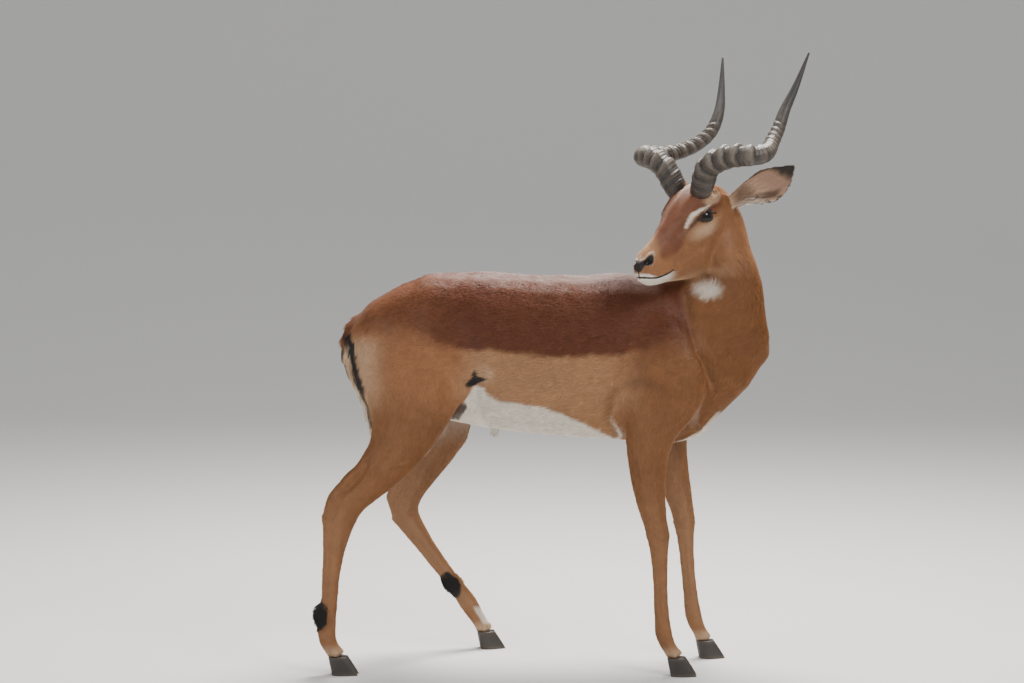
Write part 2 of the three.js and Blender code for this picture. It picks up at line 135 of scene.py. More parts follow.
def line_shares(line):
    """The length of each stretch of a polyline, and each point's share of the whole length."""
    lengths = np.linalg.norm(np.diff(line, axis=0), axis=1)
    return lengths, np.concatenate([[0], np.cumsum(lengths)]) / lengths.sum()


def near_line(points, line):
    """For each point: its distance to a polyline, its place along it from 0 to 1, and the way the
    line runs there."""
    line = np.asarray(line, float)
    best = np.full(len(points), 1e9)
    along = np.zeros(len(points))
    way = np.zeros((len(points), line.shape[1]))
    lengths, done = line_shares(line)
    for k in range(len(line) - 1):
        a, b = line[k], line[k + 1]
        t = np.clip((points - a) @ (b - a) / lengths[k] ** 2, 0, 1)
        distance = np.linalg.norm(points - (a + t[:, None] * (b - a)), axis=1)
        nearer = distance < best
        best[nearer] = distance[nearer]
        along[nearer] = (done[k] + t * (done[k + 1] - done[k]))[nearer]
        way[nearer] = (b - a) / lengths[k]
    return best, along, way


def line_point(line, share):
    line = np.asarray(line, float)
    return np.array([np.interp(share, line_shares(line)[1], column) for column in line.T])


def follow(table, value, key=0, out=1):
    """Column `out` of a table of points, where its rising column `key` has the given value."""
    table = np.asarray(table, float)
    return np.interp(value, table[:, key], table[:, out])


# ---------------------------------------------------------------- meshes


def read(items, key, width, kind=np.int32):
    """Rows of `width` numbers from a mesh's vertices, edges, triangles or corners."""
    values = np.empty(len(items) * width, kind)
    items.foreach_get(key, values)
    return values.reshape(-1, width)


def vertices_of(mesh):
    return read(mesh.vertices, "co", 3, np.float32).astype(float) / MM + ORIGIN


def put_vertices(mesh, points):
    mesh.vertices.foreach_set("co", ((points - ORIGIN) * MM).astype(np.float32).ravel())
    mesh.update()


def triangles_of(mesh):
    mesh.calc_loop_triangles()
    return read(mesh.loop_triangles, "vertices", 3)


def edges_of(mesh):
    return read(mesh.edges, "vertices", 2)


def vertex_normals(points, tri):
    a, b, c = (points[tri[:, k]] for k in range(3))
    face = np.cross(b - a, c - a)
    total = np.zeros_like(points)
    for axis in range(3):
        for k in range(3):
            total[:, axis] += np.bincount(tri[:, k], face[:, axis], len(points))
    return unit(total)


def neighbour_mean(values, edges, degree):
    a, b = edges.T
    count = len(values)
    columns = values.reshape(count, -1).T
    total = [np.bincount(a, column[b], count) + np.bincount(b, column[a], count) for column in columns]
    return (np.stack(total, axis=1) / degree[:, None]).reshape(values.shape)


def smoothed(values, edges, passes, share=0.5):
    """Moves each value towards its neighbours' mean, `passes` times. `share` may differ by vertex."""
    degree = np.maximum(np.bincount(edges.ravel(), minlength=len(values)), 1).astype(float)
    share = np.asarray(share, float)
    if share.ndim == 1 and values.ndim == 2:
        share = share[:, None]
    for _ in range(passes):
        values = values + share * (neighbour_mean(values, edges, degree) - values)
    return values


def new_mesh(name, points, faces):
    """A smooth mesh from points in millimetres and faces of three or four corners each."""
    mesh = bpy.data.meshes.new(name)
    faces = np.asarray(faces, np.int32)
    sides = faces.shape[1]
    mesh.vertices.add(len(points))
    mesh.loops.add(faces.size)
    mesh.polygons.add(len(faces))
    mesh.loops.foreach_set("vertex_index", faces.ravel())
    mesh.polygons.foreach_set("loop_start", np.arange(0, faces.size, sides, dtype=np.int32))
    mesh.polygons.foreach_set("use_smooth", np.ones(len(faces), bool))
    put_vertices(mesh, np.asarray(points, float))
    mesh.update(calc_edges=True)
    mesh.validate()
    return mesh


def placed(name, data):
    """An object of a mesh, a lamp or a camera, in the scene."""
    made = bpy.data.objects.new(name, data)
    bpy.context.scene.collection.objects.link(made)
    return made


def add_piece(name, mesh, material, replaced=()):
    piece = placed(name, mesh)
    mesh.materials.clear()
    mesh.materials.append(material)
    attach(piece, "root")
    if replaced:
        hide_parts(*replaced)


def paint(mesh, name, colours):
    """Stores a colour for each vertex."""
    rgba = np.ones((len(mesh.vertices), 4), np.float32)
    rgba[:, :3] = colours
    layer = mesh.color_attributes.new(name, "FLOAT_COLOR", "POINT")
    layer.data.foreach_set("color", rgba.ravel())


def joined(names, grow=0.0):
    """Points, triangles and each triangle's node index of some CAD nodes, grown along their
    normals by `grow` millimetres."""
    points, tris, owner, start = [], [], [], 0
    for index, name in enumerate(names):
        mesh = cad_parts[name].data
        raw, raw_tri = vertices_of(mesh), triangles_of(mesh)
        welded, back = np.unique(np.round(raw, 3), axis=0, return_inverse=True)
        tri = back.reshape(-1)[raw_tri]
        tri = tri[(tri[:, 0] != tri[:, 1]) & (tri[:, 1] != tri[:, 2]) & (tri[:, 2] != tri[:, 0])]
        if grow:
            welded = welded + grow * vertex_normals(welded, tri)
        points.append(welded)
        tris.append(tri + start)
        owner.append(np.full(len(tri), index))
        start += len(welded)
    return np.concatenate(points), np.concatenate(tris), np.concatenate(owner)


# ---------------------------------------------------------------- lines along the body

NECK_LINE = [(318, -25, 962), (330, -16, 916), (338, -14, 868), (343, -8, 815), (306, 0, 752),
             (236, 0, 646)]
TAIL_LINE = [(-402, 0, 732), (-430, 0, 700), (-436, 0, 652), (-421, 0, 600), (-398, 0, 545),
             (-384, 0, 490)]
LEG_LINES = {
    "hind_right": [(-298, -75, 665), (-298, -75, 590), (-306, -76, 525), (-334, -75, 458),
                   (-384, -75, 402), (-428, -75, 362), (-450, -75, 326), (-458, -75, 282),
                   (-466, -75, 225), (-470, -75, 160), (-474, -75, 112), (-477, -76, 80),
                   (-467, -77, 56), (-455, -78, 38)],
    "hind_left": [(-288, 66, 662), (-262, 78, 585), (-238, 88, 520), (-258, 100, 455),
                  (-292, 115, 392), (-320, 128, 342), (-328, 134, 305), (-303, 142, 262),
                  (-264, 153, 205), (-224, 166, 150), (-202, 174, 120), (-186, 180, 94),
                  (-168, 184, 64), (-154, 187, 38)],
    "fore_right": [(212, -74, 690), (216, -85, 620), (202, -89, 560), (186, -88, 500),
                   (181, -86, 440), (186, -85, 380), (195, -85, 328), (203, -85, 290),
                   (206, -85, 252), (208, -85, 200), (210, -85, 150), (213, -85, 110),
                   (217, -86, 80), (229, -87, 56), (240, -88, 38)],
    "fore_left": [(220, 74, 690), (228, 84, 620), (230, 88, 560), (233, 86, 500), (240, 84, 440),
                  (252, 83, 380), (263, 82, 330), (270, 82, 294), (273, 82, 256), (277, 83, 204),
                  (282, 84, 154), (287, 85, 115), (292, 86, 86), (303, 87, 60), (314, 88, 38)],
}
TOES = {"hind_right": -3, "hind_left": 8, "fore_right": -4, "fore_left": 4}
GLANDS = {"hind_right": ((-492, -78, 126), -4), "hind_left": ((-232, 157, 146), 20)}
EAR_ROOT, EAR_REACH = (-88.0, 52.0, 11.0), (-72.8, 106.4, 53.2)

# ---------------------------------------------------------------- the skin's first shape

VOXEL = 3.0  # mesh size of the skin
SWELL = 0.5  # how far the pieces of flesh grow to close the gaps between them
GLAND_DEPTH = 5.0  # how much deeper the skin lies under the glands' long hair
# For each kind of node: how deep the skin lies under the tips of the coat, and how many
# smoothing passes round its facets off.
KINDS = {
    "trunk": (4.0, 170),
    "neck": (4.0, 140),
    "head": (2.0, 16),
    "lower_jaw": (2.0, 10),
    "tail": (7.0, 12),
    "ear": (0.9, 7),
    "eye": (2.0, 10),
    "leg": (2.8, 60),
    "cannon": (1.6, 40),
}


HEAD_KINDS = ("head", "lower_jaw", "eye")


def kind_of(node):
    for kind in ("trunk", "neck", "head", "lower_jaw", "tail", "ear", "eye", "cannon"):
        if kind in node:
            return kind
    return "leg"


def nearest_nodes(points, names):
    """The index in `names` of the CAD node nearest each point."""
    co, tri, owner = joined(names)
    tree = BVHTree.FromPolygons(co.tolist(), tri.tolist())
    return owner[[tree.find_nearest(Vector(p))[2] for p in points]]


def raw_skin():
    """The flesh as one closed surface of even small faces, on the CAD solids."""
    points, tri, _ = joined(ALL_FLESH, SWELL)
    rough = placed("rough_skin", new_mesh("rough_skin", points, tri))
    remesh = rough.modifiers.new("even", "REMESH")
    remesh.mode = "VOXEL"
    remesh.voxel_size = VOXEL * MM
    graph = bpy.context.evaluated_depsgraph_get()
    mesh = bpy.data.meshes.new_from_object(rough.evaluated_get(graph))
    bpy.data.objects.remove(rough)
    return mesh


def gland_distance(points):
    return np.min([np.linalg.norm(points - np.array(at), axis=1) for at, _ in GLANDS.values()], axis=0)


def rounded_skin(mesh):
    """The skin's points with the facets smoothed away, set under the coat's depth."""
    start, edges, tri = vertices_of(mesh), edges_of(mesh), triangles_of(mesh)
    kinds = [KINDS[kind_of(name)] for name in ALL_FLESH]
    depth, passes = np.array(kinds, float)[nearest_nodes(start, ALL_FLESH)].T
    depth = depth + GLAND_DEPTH * step(34, 14, gland_distance(start))
    depth = smoothed(depth, edges, 12)
    passes = smoothed(passes, edges, 6)
    points = start
    for k in range(int(passes.max())):
        points = smoothed(points, edges, 1, 0.5 * np.clip(passes - k, 0, 1))
    normals = vertex_normals(points, tri)
    moved = dot(points - start, normals)
    back = smoothed(-(depth + SWELL) - moved, edges, 90, 0.5 * np.clip(passes / 60, 0.08, 1))
    return points + normals * back[:, None]


def refine(mesh, near):
    """Splits the edges whose both ends are chosen by `near`, which takes points in millimetres."""
    work = bmesh.new()
    work.from_mesh(mesh)
    work.verts.ensure_lookup_table()
    chosen = near(vertices_of(mesh))
    edges = [e for e in work.edges if chosen[e.verts[0].index] and chosen[e.verts[1].index]]
    bmesh.ops.subdivide_edges(work, edges=edges, cuts=1, use_grid_fill=True, use_single_edge=True)
    bmesh.ops.triangulate(work, faces=[f for f in work.faces if len(f.verts) > 4])
    work.to_mesh(mesh)
    work.free()
    mesh.update()


# ---------------------------------------------------------------- the form of the body

# Hollows (positive depth) and swells (negative) along lines on the body: depth, width, points.
# Those on the animal's left (y over 0) are pressed on its right as well.
BODY_RELIEF = [
    # behind the shoulder blade, down to the elbow
    (3.0, 20, [(178, 108, 770), (150, 118, 700), (134, 118, 620), (120, 106, 545), (132, 92, 508)]),
    # the ridge and the muscle of the shoulder
    (-2.0, 22, [(214, 92, 775), (228, 112, 700), (238, 112, 640)]),
    (1.6, 16, [(236, 96, 700), (232, 106, 650), (222, 108, 610)]),
    (-2.2, 20, [(196, 108, 620), (176, 104, 585), (166, 98, 555)]),
    # the edge of the upper arm's muscle, and the muscle itself
    (3.6, 8, [(106, 98, 500), (96, 108, 540), (102, 114, 578), (126, 118, 608), (160, 118, 616)]),
    (-2.4, 22, [(140, 112, 560), (160, 112, 570), (186, 108, 560)]),
    # the fold where the neck meets the shoulder and the chest
    (5.2, 9, [(260, 55, 805), (263, 73, 761), (270, 91, 717), (285, 102, 667), (310, 83, 614),
              (321, 73, 583)]),
    (-2.2, 11, [(272, 70, 776), (282, 88, 726), (297, 97, 676), (320, 84, 628)]),
    (1.8, 6, [(250, 84, 742), (258, 98, 700), (262, 104, 660)]),
    # the hollow of the flank, before the hip and the thigh
    (5.0, 30, [(-215, 112, 735), (-196, 116, 690), (-184, 116, 650)]),
    # the fold of skin from the flank down the front of the thigh
    (6.0, 9, [(-160, -114, 622), (-163, -110, 604), (-181, -98, 573), (-203, -84, 539),
              (-224, -86, 508), (-250, -84, 474)]),
    (6.0, 9, [(-160, 114, 622), (-160, 110, 604), (-168, 102, 578), (-178, 98, 552)]),
    (-3.0, 10, [(-184, -112, 622), (-184, -108, 600), (-204, -98, 566), (-226, -96, 530)]),
    # the last ribs and the edge of the loin
    (-1.6, 22, [(-150, 116, 720), (-110, 120, 660), (-84, 118, 600)]),
    (1.4, 14, [(-60, 118, 735), (-30, 122, 670), (-14, 118, 600)]),
    # the point of the hip, the hip joint and the seat bone
    (-3.0, 16, [(-232, 84, 796), (-246, 100, 776)]),
    (-2.6, 26, [(-330, 104, 716), (-322, 112, 690)]),
    (2.4, 18, [(-292, 104, 760), (-286, 114, 715), (-276, 118, 670)]),
    (-2.4, 16, [(-402, 62, 700), (-410, 52, 680)]),
    # the thigh: the groove of the hamstrings and the muscle before it
    (2.6, 15, [(-372, 108, 672), (-362, 116, 610), (-356, 110, 550), (-360, 98, 500)]),
    (-2.4, 28, [(-262, 116, 640), (-262, 116, 590), (-276, 108, 540)]),
    # the leg above the hock: the hollow before its tendon, the tendon and the veins beside it
    (8.0, 8, [(-389, -97, 446), (-401, -98, 428), (-414, -97, 410), (-428, -96, 393),
              (-437, -95, 383)]),
    (-2.0, 4, [(-388, -94, 464), (-384, -101, 440), (-380, -102, 414), (-382, -101, 396)]),
    (-1.6, 3.5, [(-372, -104, 424), (-356, -106, 430), (-333, -106, 434), (-311, -103, 440)]),
    (1.6, 6, [(-340, -107, 470), (-356, -106, 452), (-366, -105, 436)]),
    # the spine of the back, low between its muscles
    (-1.6, 10, [(-380, 0, 780), (-235, 0, 828), (-60, 0, 822), (110, 0, 828), (216, 0, 826)]),
    (1.6, 14, [(-225, 34, 824), (-60, 36, 818), (90, 34, 820)]),
]

# Hollows and swells on every leg: where each starts and ends as shares of the leg's line, how far
# behind the line and out to each side it lies, its depth and its width.
LEG_RELIEF = {
    "hind": [
        (0.40, 0.53, 20, 17, 4.6, 8.0),  # before the Achilles tendon
        (0.62, 0.86, 5, 12, 1.7, 4.0),  # between the cannon bone and the tendons
        (0.535, 0.575, 4, 20, -1.4, 8.0),  # the bones of the hock
        (0.945, 0.985, -14, 12, -1.0, 8.0),  # the fetlock's front
    ],
    "fore": [
        (0.66, 0.86, 4, 12, 1.7, 4.0),  # between the cannon bone and the tendons
        (0.575, 0.63, -12, 14, -1.4, 9.0),  # the knee's front
        (0.59, 0.645, 22, 0, -1.0, 10.0),  # the bone behind the knee
        (0.30, 0.50, -2, 27, 2.2, 9.0),  # between the forearm's muscles
    ],
}


def press(points, normals, depth, width, line):
    """Pushes the surface in along a line, less at the line's ends."""
    distance, along, _ = near_line(points, line)
    fade = step(0, 0.12, along) * step(1, 0.88, along) if len(line) > 2 else 1.0
    fade = 0.25 + 0.75 * fade
    return points - normals * (depth * fade * np.exp(-((distance / width) ** 2)))[:, None]


def relief(points, tri):
    normals = vertex_normals(points, tri)
    for depth, width, line in BODY_RELIEF:
        for side in (1, -1) if any(p[1] > 0 for p in line) else (1,):
            points = press(points, normals, depth, width, np.array(line) * (1, side, 1))
    for leg, line in LEG_LINES.items():
        for start, end, back, out, depth, width in LEG_RELIEF[leg.split("_")[0]]:
            for side in (1, -1) if out else (1,):
                path = []
                for share in np.linspace(start, end, 5):
                    way = unit(line_point(line, share + 0.02) - line_point(line, share - 0.02))
                    behind = unit(np.cross(way, (0, 1, 0)))
                    behind = behind * (-1 if behind[0] > 0 else 1)
                    path.append(line_point(line, share) + behind * back + np.array((0, side * out, 0)))
                points = press(points, normals, depth, width, path)
    return points


# ---------------------------------------------------------------- the form of the head

GAZE = (0.03, 1.0, 0.16)  # the way the middle of an eye's opening looks, for the left eye
LID_LENGTH, LID_UP, LID_DOWN = 21.0, 10.4, 9.0  # half-sizes of the opening, along the ball
LID_SHAPE = 1.7  # 2 for an oval opening, less for pointed corners
LID_LEAN = -0.04  # how far the opening's long way drops towards the nose
NOSTRIL_AT = (157.0, 15.0, -54.0)
NOSTRIL_LONG, NOSTRIL_HIGH, NOSTRIL_DEEP = 14.5, 7.2, 9.0
MOUTH_LINE = [(92, -87), (100, -90), (112, -92), (128, -93), (144, -92), (158, -89), (170, -85),
              (182, -82)]

# Hollows and swells of the face's left side, in the head's frame: depth, width, points.
FACE_RELIEF = [
    (-2.6, 7, [(-26, 54, 17), (-4, 57, 21), (16, 50, 18), (30, 42, 10)]),  # the brow
    (2.2, 9, [(46, 38, -4), (62, 32, -14), (80, 28, -22)]),  # before the eye
    (-1.8, 9, [(26, 50, -34), (-6, 57, -36), (-36, 57, -30)]),  # the cheekbone
    (2.4, 14, [(70, 33, -52), (42, 42, -62), (16, 48, -70)]),  # under it
    (-2.4, 20, [(20, 46, -98), (-12, 50, -96), (-36, 46, -86)]),  # the muscle of the jaw
    (2.0, 9, [(-42, 52, 8), (-30, 55, 2)]),  # behind the eye
    (1.8, 8, [(96, 21, -20), (122, 17, -32), (138, 15, -38)]),  # over the nostril's back
    (-1.6, 7, [(118, 25, -66), (140, 24, -70), (156, 20, -72)]),  # the upper lip's pad
    (1.4, 5, [(96, 29, -74), (84, 30, -84), (80, 29, -96)]),  # round the mouth's corner
    (-1.6, 8, [(100, 0, -6), (60, 0, 19), (30, 0, 43)]),  # the bridge of the nose
    (2.6, 10, [(8, 12, 60), (-8, 8, 64)]),  # between the horns
    # the collar of skin round the root of the horn
    (-4.0, 7, [(-44, 34, 44), (-40, 56, 34), (-14, 64, 30), (10, 58, 32), (22, 40, 42)]),
]


def eye_frame(side, lean):
    """The way an eye looks, and the ways forward and up across its opening."""
    out = unit(np.array((GAZE[0], GAZE[1] * side, GAZE[2])))
    fore = np.array((1.0, 0.0, lean))
    fore = unit(fore - out * dot(fore, out))
    return out, fore, np.cross(fore, out) * side


def lid_place(rel, side):
    """Where points around an eye's centre fall on its ball: along the opening, up it, and how far
    out they look. `rel` is in the head's frame."""
    out, fore, up = eye_frame(side, LID_LEAN)
    toward = unit(rel)
    facing = dot(toward, out)
    along, high = (EYE_R * np.arctan2(dot(toward, way), facing) for way in (fore, up))
    return along, high, facing


def lid_measure(along, up):
    """1 on the edge of the lids, less inside the opening."""
    high = np.where(up > 0, LID_UP, LID_DOWN) * (1 + 0.10 * np.tanh(-along / 9) * np.sign(up))
    g = np.abs(along / LID_LENGTH) ** LID_SHAPE + np.abs(up / high) ** LID_SHAPE
    return g ** (1 / LID_SHAPE)


def eye_centre(side):
    return np.array((EYE_X, side * EYE_Y, EYE_Z))


def sculpt_eyes(head):
    for side in (1, -1):
        rel = head - eye_centre(side)
        away = np.linalg.norm(rel, axis=1)
        along, up, facing = lid_place(rel, side)
        measure = lid_measure(along, up)
        near = (away < 44) & (facing > 0.05)
        fold = 1.2 * np.exp(-(((measure - 1.28) / 0.14) ** 2)) * (up > -2)
        crease = -1.3 * np.exp(-(((measure - 1.62) / 0.13) ** 2)) * (up > 0)
        lid = EYE_R + 1.7 + fold + crease + 0.7 * step(1.5, 1.0, measure) * (up > 0)
        inside = EYE_R - 2.5
        radius = inside + (lid - inside) * step(0.97, 1.05, measure)
        grip = near * (1 - step(1.25, 2.15, measure)) * step(0.05, 0.25, facing)
        head = head + unit(rel) * (grip * (radius - away))[:, None]
    return head


def nostril_place(head, side):
    """Across a nostril: along its long way, up it and out of it, all in millimetres."""
    rel = head - np.array((NOSTRIL_AT[0], side * NOSTRIL_AT[1], NOSTRIL_AT[2]))
    out = unit(np.array((0.50, 0.82 * side, 0.05)))
    long_way = np.array((-0.80, 0.42 * side, 0.24))
    long_way = unit(long_way - out * dot(long_way, out))
    up = np.cross(long_way, out) * -side
    return dot(rel, long_way), dot(rel, up), dot(rel, out)


def nostril_measure(head, side):
    """1 on the rim of a nostril, less inside it: a comma, wider to the back."""
    along, up, out = nostril_place(head, side)
    bend = up - 0.018 * along**2 + 2.0
    high = NOSTRIL_HIGH * (1 + 0.22 * np.tanh(along / 6))
    g = np.sqrt((along / NOSTRIL_LONG) ** 2 + (bend / high) ** 2)
    return np.where((np.abs(out) < 14) & (head[:, 1] * side > 1.5), g, 9.0), up


def mouth_distance(head):
    """How far a point of the muzzle is from the line between the lips."""
    flat = head[:, [0, 2]]
    distance, along, _ = near_line(flat, MOUTH_LINE)
    return np.where(head[:, 0] > 84, distance, 99.0), along


def sculpt_head(points, tri):
    head = to_head(points)
    normals = vertex_normals(head, tri)
    for depth, width, line in FACE_RELIEF:
        for side in (1, -1) if line[0][1] else (1,):
            head = press(head, normals, depth, width, np.array(line) * (1, side, 1))
    for side in (1, -1):
        g, up = nostril_measure(head, side)
        hollow = NOSTRIL_DEEP * (1 - step(0.25, 1.05, g))
        rim = 1.7 * np.exp(-(((g - 1.28) / 0.2) ** 2)) * (0.35 + 0.65 * step(-2, 4, up))
        head = head + normals * (rim - hollow)[:, None]
    distance, along = mouth_distance(head)
    parting = 3.0 * np.exp(-((distance / 1.5) ** 2)) * step(0.0, 0.12, along)
    lips = 1.1 * np.exp(-(((distance - 4.5) / 2.4) ** 2)) * step(0.0, 0.2, along)
    head = head + normals * (lips - parting)[:, None]
    cleft = np.exp(-((head[:, 1] / 1.3) ** 2)) * step(150, 160, head[:, 0])
    cleft = cleft * step(-88, -80, head[:, 2]) * step(-52, -60, head[:, 2])
    head = head - normals * (1.6 * cleft)[:, None]
    return from_head(sculpt_eyes(head))


def on_head(points):
    head = to_head(points)
    return (head[:, 0] > -44) & (head[:, 2] > -150) & (np.abs(head[:, 1]) < 90) & (head[:, 0] < 200)


def on_fine_face(points):
    """Round the eyes, the nostrils and the mouth."""
    head = to_head(points)
    close = np.zeros(len(points), bool)
    for side in (1, -1):
        close |= np.linalg.norm(head - eye_centre(side), axis=1) < 34
    muzzle = (head[:, 0] > 84) & (head[:, 2] > -112) & (head[:, 2] < -34)
    return close | muzzle & (np.abs(head[:, 1]) < 60)


def make_skin_mesh():
    mesh = raw_skin()
    put_vertices(mesh, relief(rounded_skin(mesh), triangles_of(mesh)))
    for near in (on_head, on_fine_face):
        refine(mesh, near)
        points, edges = vertices_of(mesh), edges_of(mesh)
        put_vertices(mesh, smoothed(points, edges, 3, 0.5 * near(points)))
    put_vertices(mesh, sculpt_head(vertices_of(mesh), triangles_of(mesh)))
    mesh.polygons.foreach_set("use_smooth", np.ones(len(mesh.polygons), bool))
    return mesh


# ---------------------------------------------------------------- the markings

SADDLE = (0.120, 0.032, 0.0105)
SADDLE_DEEP = (0.090, 0.024, 0.009)
FAWN = (0.40, 0.205, 0.098)
# RUFOUS and LEG_FAWN are the coat's own rufous and fawn, made darker part of the way towards the shade that
# the shoulder and legs lie in: partly painted shade
RUFOUS = (0.205, 0.081, 0.026)
LEG_FAWN = (0.225, 0.092, 0.031)
THIGH_FAWN = (0.30, 0.127, 0.050)
CREAM = (0.58, 0.40, 0.25)
WHITE = (0.80, 0.72, 0.61)
CHESTNUT = (0.140, 0.042, 0.016)
DARK_BROWN = (0.055, 0.026, 0.014)
BLACK = (0.012, 0.0095, 0.0085)
EAR_PINK = (0.34, 0.205, 0.135)
MUZZLE_TAN = (0.30, 0.145, 0.060)
FACE_TAN = (0.275, 0.120, 0.048)
NOSE_RIM = (0.42, 0.36, 0.30)

# Height of the saddle's lower edge and of the white belly's upper edge along the trunk.
SADDLE_EDGE = [(-437, 709), (-323, 701), (-241, 678), (-181, 674), (-120, 672), (-39, 660),
               (42, 658), (123, 664), (184, 675), (254, 694)]
BELLY_EDGE = [(-260, 470), (-232, 500), (-205, 545), (-186, 578), (-168, 600), (-150, 596),
              (-136, 578), (-112, 566), (-60, 561), (-16, 552), (12, 540), (53, 521), (75, 511),
              (100, 498), (118, 487), (132, 478), (150, 468), (240, 472), (270, 486), (300, 512),
              (330, 542), (345, 545), (400, 545)]
# Lines seen from the animal's right side, x and z.
TAIL_STRIPE = [(-431, 704), (-425, 677), (-420, 650), (-416, 624), (-407, 598), (-398, 574)]
# the line of painted shade along the edge of the upper arm's muscle
UPPER_ARM_SHADE = [(112, 500), (104, 540), (110, 578), (136, 606), (172, 612), (206, 596)]
ELBOW_LINE = [(108, 534), (122, 508), (131, 484), (134, 462), (140, 436)]
ELBOW_AHEAD = 46  # how far ahead of the right elbow the left one stands
# the black painted shadow in the fold of the flank, and its upper point
FLANK_SHADOW, FLANK_SHADOW_PEAK = [(-181, 602), (-168, 610), (-148, 613)], [(-168, 612), (-167, 629)]
# the painted shadow in the groin, between the right thigh and the belly
GROIN_SHADOW = [(-196, 556), (-206, 540), (-216, 524)]
ARMPIT_X, ARMPIT_Z = 253, 503
# Front edge of the right thigh, and the fold between the neck and the shoulder, by height.
THIGH_FRONT = [(-272, 455), (-259, 472), (-224, 527), (-206, 558), (-181, 600)]
NECK_FOLD = [(321, 583), (310, 614), (285, 667), (270, 717), (263, 761), (256, 805), (232, 850),
             (150, 900)]
THROAT_AT = (304.0, -76.0, 796.0)
# On the head, in its own frame: the lower edge of the chestnut, the white over the eye (the white
# brow, and a painted highlight along the upper lid's rim), the dark line from the eye's corner and
# the black that joins the nostrils.
CHESTNUT_EDGE = [(-30, 6), (20, 16), (40, -2), (53, -17), (61, -31), (69, -46), (87, -56),
                 (107, -62), (124, -60), (132, -44)]
BROW_WHITE_AND_LID_HIGHLIGHT = [(50, -12), (41.5, -0.5), (32.5, 8), (18, 14), (-8, 19)]
TEAR_LINE = [(22, 0), (32, -6), (42, -13), (50, -20), (58, -29)]
NOSE_MIDDLE = [(158, 13, -57), (167, 6, -62)]


def mix(colours, *layers):
    """Lays colours over each other in turn, each as far as its share from 0 to 1."""
    for target, share in layers:
        colours = colours + np.clip(share, 0, 1)[:, None] * (np.asarray(target) - colours)
    return colours


def plain(colour, points):
    return np.tile(colour, (len(points), 1))


def band(places, line, stations, halves, outside, inside, rough=0.0):
    """1 within a band along a line, whose half-width is `halves` at `stations` of its length. It
    fades from `inside` its edge to `outside` it."""
    distance, along, _ = near_line(places, line)
    half = np.interp(along, stations, halves)
    return step(half + outside, half - inside, distance + rough)


def stripe_share(points, fine):
    """1 in the black stripe that runs down the rump and the side of the tail."""
    return band(points[:, [0, 2]], TAIL_STRIPE, [0, 0.2, 0.4, 0.6, 0.85, 1], [4, 7, 9, 10, 8.5, 2],
                5, 2.5, 3.0 * fine)


def elbow_share(points, fine):
    """1 in the thin line of white hair behind each elbow."""
    flat = points[:, [0, 2]] - np.outer(points[:, 1] > 0, (ELBOW_AHEAD, 0))
    return 0.65 * band(flat, ELBOW_LINE, [0, 0.3, 0.6, 0.85, 1], [0, 2.2, 4.4, 3.6, 0], 2.5, 1.5,
                       0.8 * fine)


def trunk_colour(points, wobble, fine):
    x, y, z = points.T
    away, flat = np.abs(y), points[:, [0, 2]]
    thigh_rear = step(-335, -405, x) * step(716, 676, z + 4 * wobble) * step(470, 560, z)
    arm, along, _ = near_line(flat, UPPER_ARM_SHADE)
    arm_edge_shade = np.exp(-((arm / 11) ** 2)) * step(0, 0.2, along)
    # the saddle, crisp along the flank, fading out over the haunch and the shoulder
    saddle_z = follow(SADDLE_EDGE, x) + 5 * wobble + 3 * fine
    haunch, front = step(-190, -300, x), step(150, 230, x)
    soft = 8 + 30 * haunch + 26 * front
    saddle = step(-soft, soft, z - saddle_z - 14 * haunch) * step(330, 276, x + 0.25 * (z - 740))
    spine = saddle * step(40, 12, away + 10 * wobble) * step(700, 760, z)
    # the white of the belly, but for the sides of the chest
    belly_z = follow(BELLY_EDGE, x) + 2.5 * wobble + 1.2 * fine
    belly = step(4, -4, z - belly_z) * step(-320, -250, x) * step(348, 330, x)
    belly = belly * (1 - step(200, 240, x) * step(30, 46, away - 0.3 * (z - 500) + 4 * wobble))
    between_thighs = step(60, 34, away) * step(560, 520, z) * step(-420, -330, x) * step(-200, -260, x)
    under_tail = step(30, 16, away) * step(-385, -400, x) * step(690, 660, z)
    # black painted shadow in the fold of the flank, and the pale hair over it
    spot, along, _ = near_line(flat, FLANK_SHADOW)
    spot = spot - np.interp(along, [0, 0.4, 1], [4.5, 9, 3.5])
    peak, along, _ = near_line(flat, FLANK_SHADOW_PEAK)
    spot = np.minimum(spot, peak - np.interp(along, [0, 1], [8, 2.5]))
    near_fold = step(66, 82, away)
    over_fold = step(28, 10, np.hypot(x + 148, z - 622)) * near_fold
    shaded = band(flat, GROIN_SHADOW, [0], [8.5], 2.5, 2.5, fine) * step(-30, -45, y)
    armpit = np.hypot(x - ARMPIT_X, (z - ARMPIT_Z) * 1.5)
    return mix(
        plain(FAWN, points),
        (RUFOUS, 0.95 * step(96, 190, x + 0.15 * (z - 600) + 10 * wobble)),
        (THIGH_FAWN, step(-170, -230, x - 0.2 * (z - 600))),
        (LEG_FAWN, 0.8 * step(-200, -260, x) * step(620, 470, z)),
        (CREAM, 0.55 * thigh_rear),
        # painted shade along the edge of the upper arm's muscle
        (np.array(RUFOUS) * 0.7, 0.45 * arm_edge_shade),
        (SADDLE, saddle * (1 - 0.22 * haunch - 0.15 * step(-360, -430, x))),
        (SADDLE_DEEP, 0.6 * spine),
        (WHITE, belly * (1 - 0.35 * step(290, 330, x))),
        (WHITE, between_thighs),
        (WHITE, under_tail),
        (BLACK, stripe_share(points, fine) * step(-380, -392, x)),
        (CREAM, 0.4 * over_fold),
        # black painted shadow in the fold of the flank
        (BLACK, step(2.5, -2.5, spot + 1.2 * fine) * near_fold),
        # dark brown painted shadow in the groin
        (DARK_BROWN, 0.95 * shaded),
        (WHITE, elbow_share(points, fine)),
        (WHITE, 0.8 * step(19, 8, armpit + 4 * fine) * step(60, 80, away)),
    )


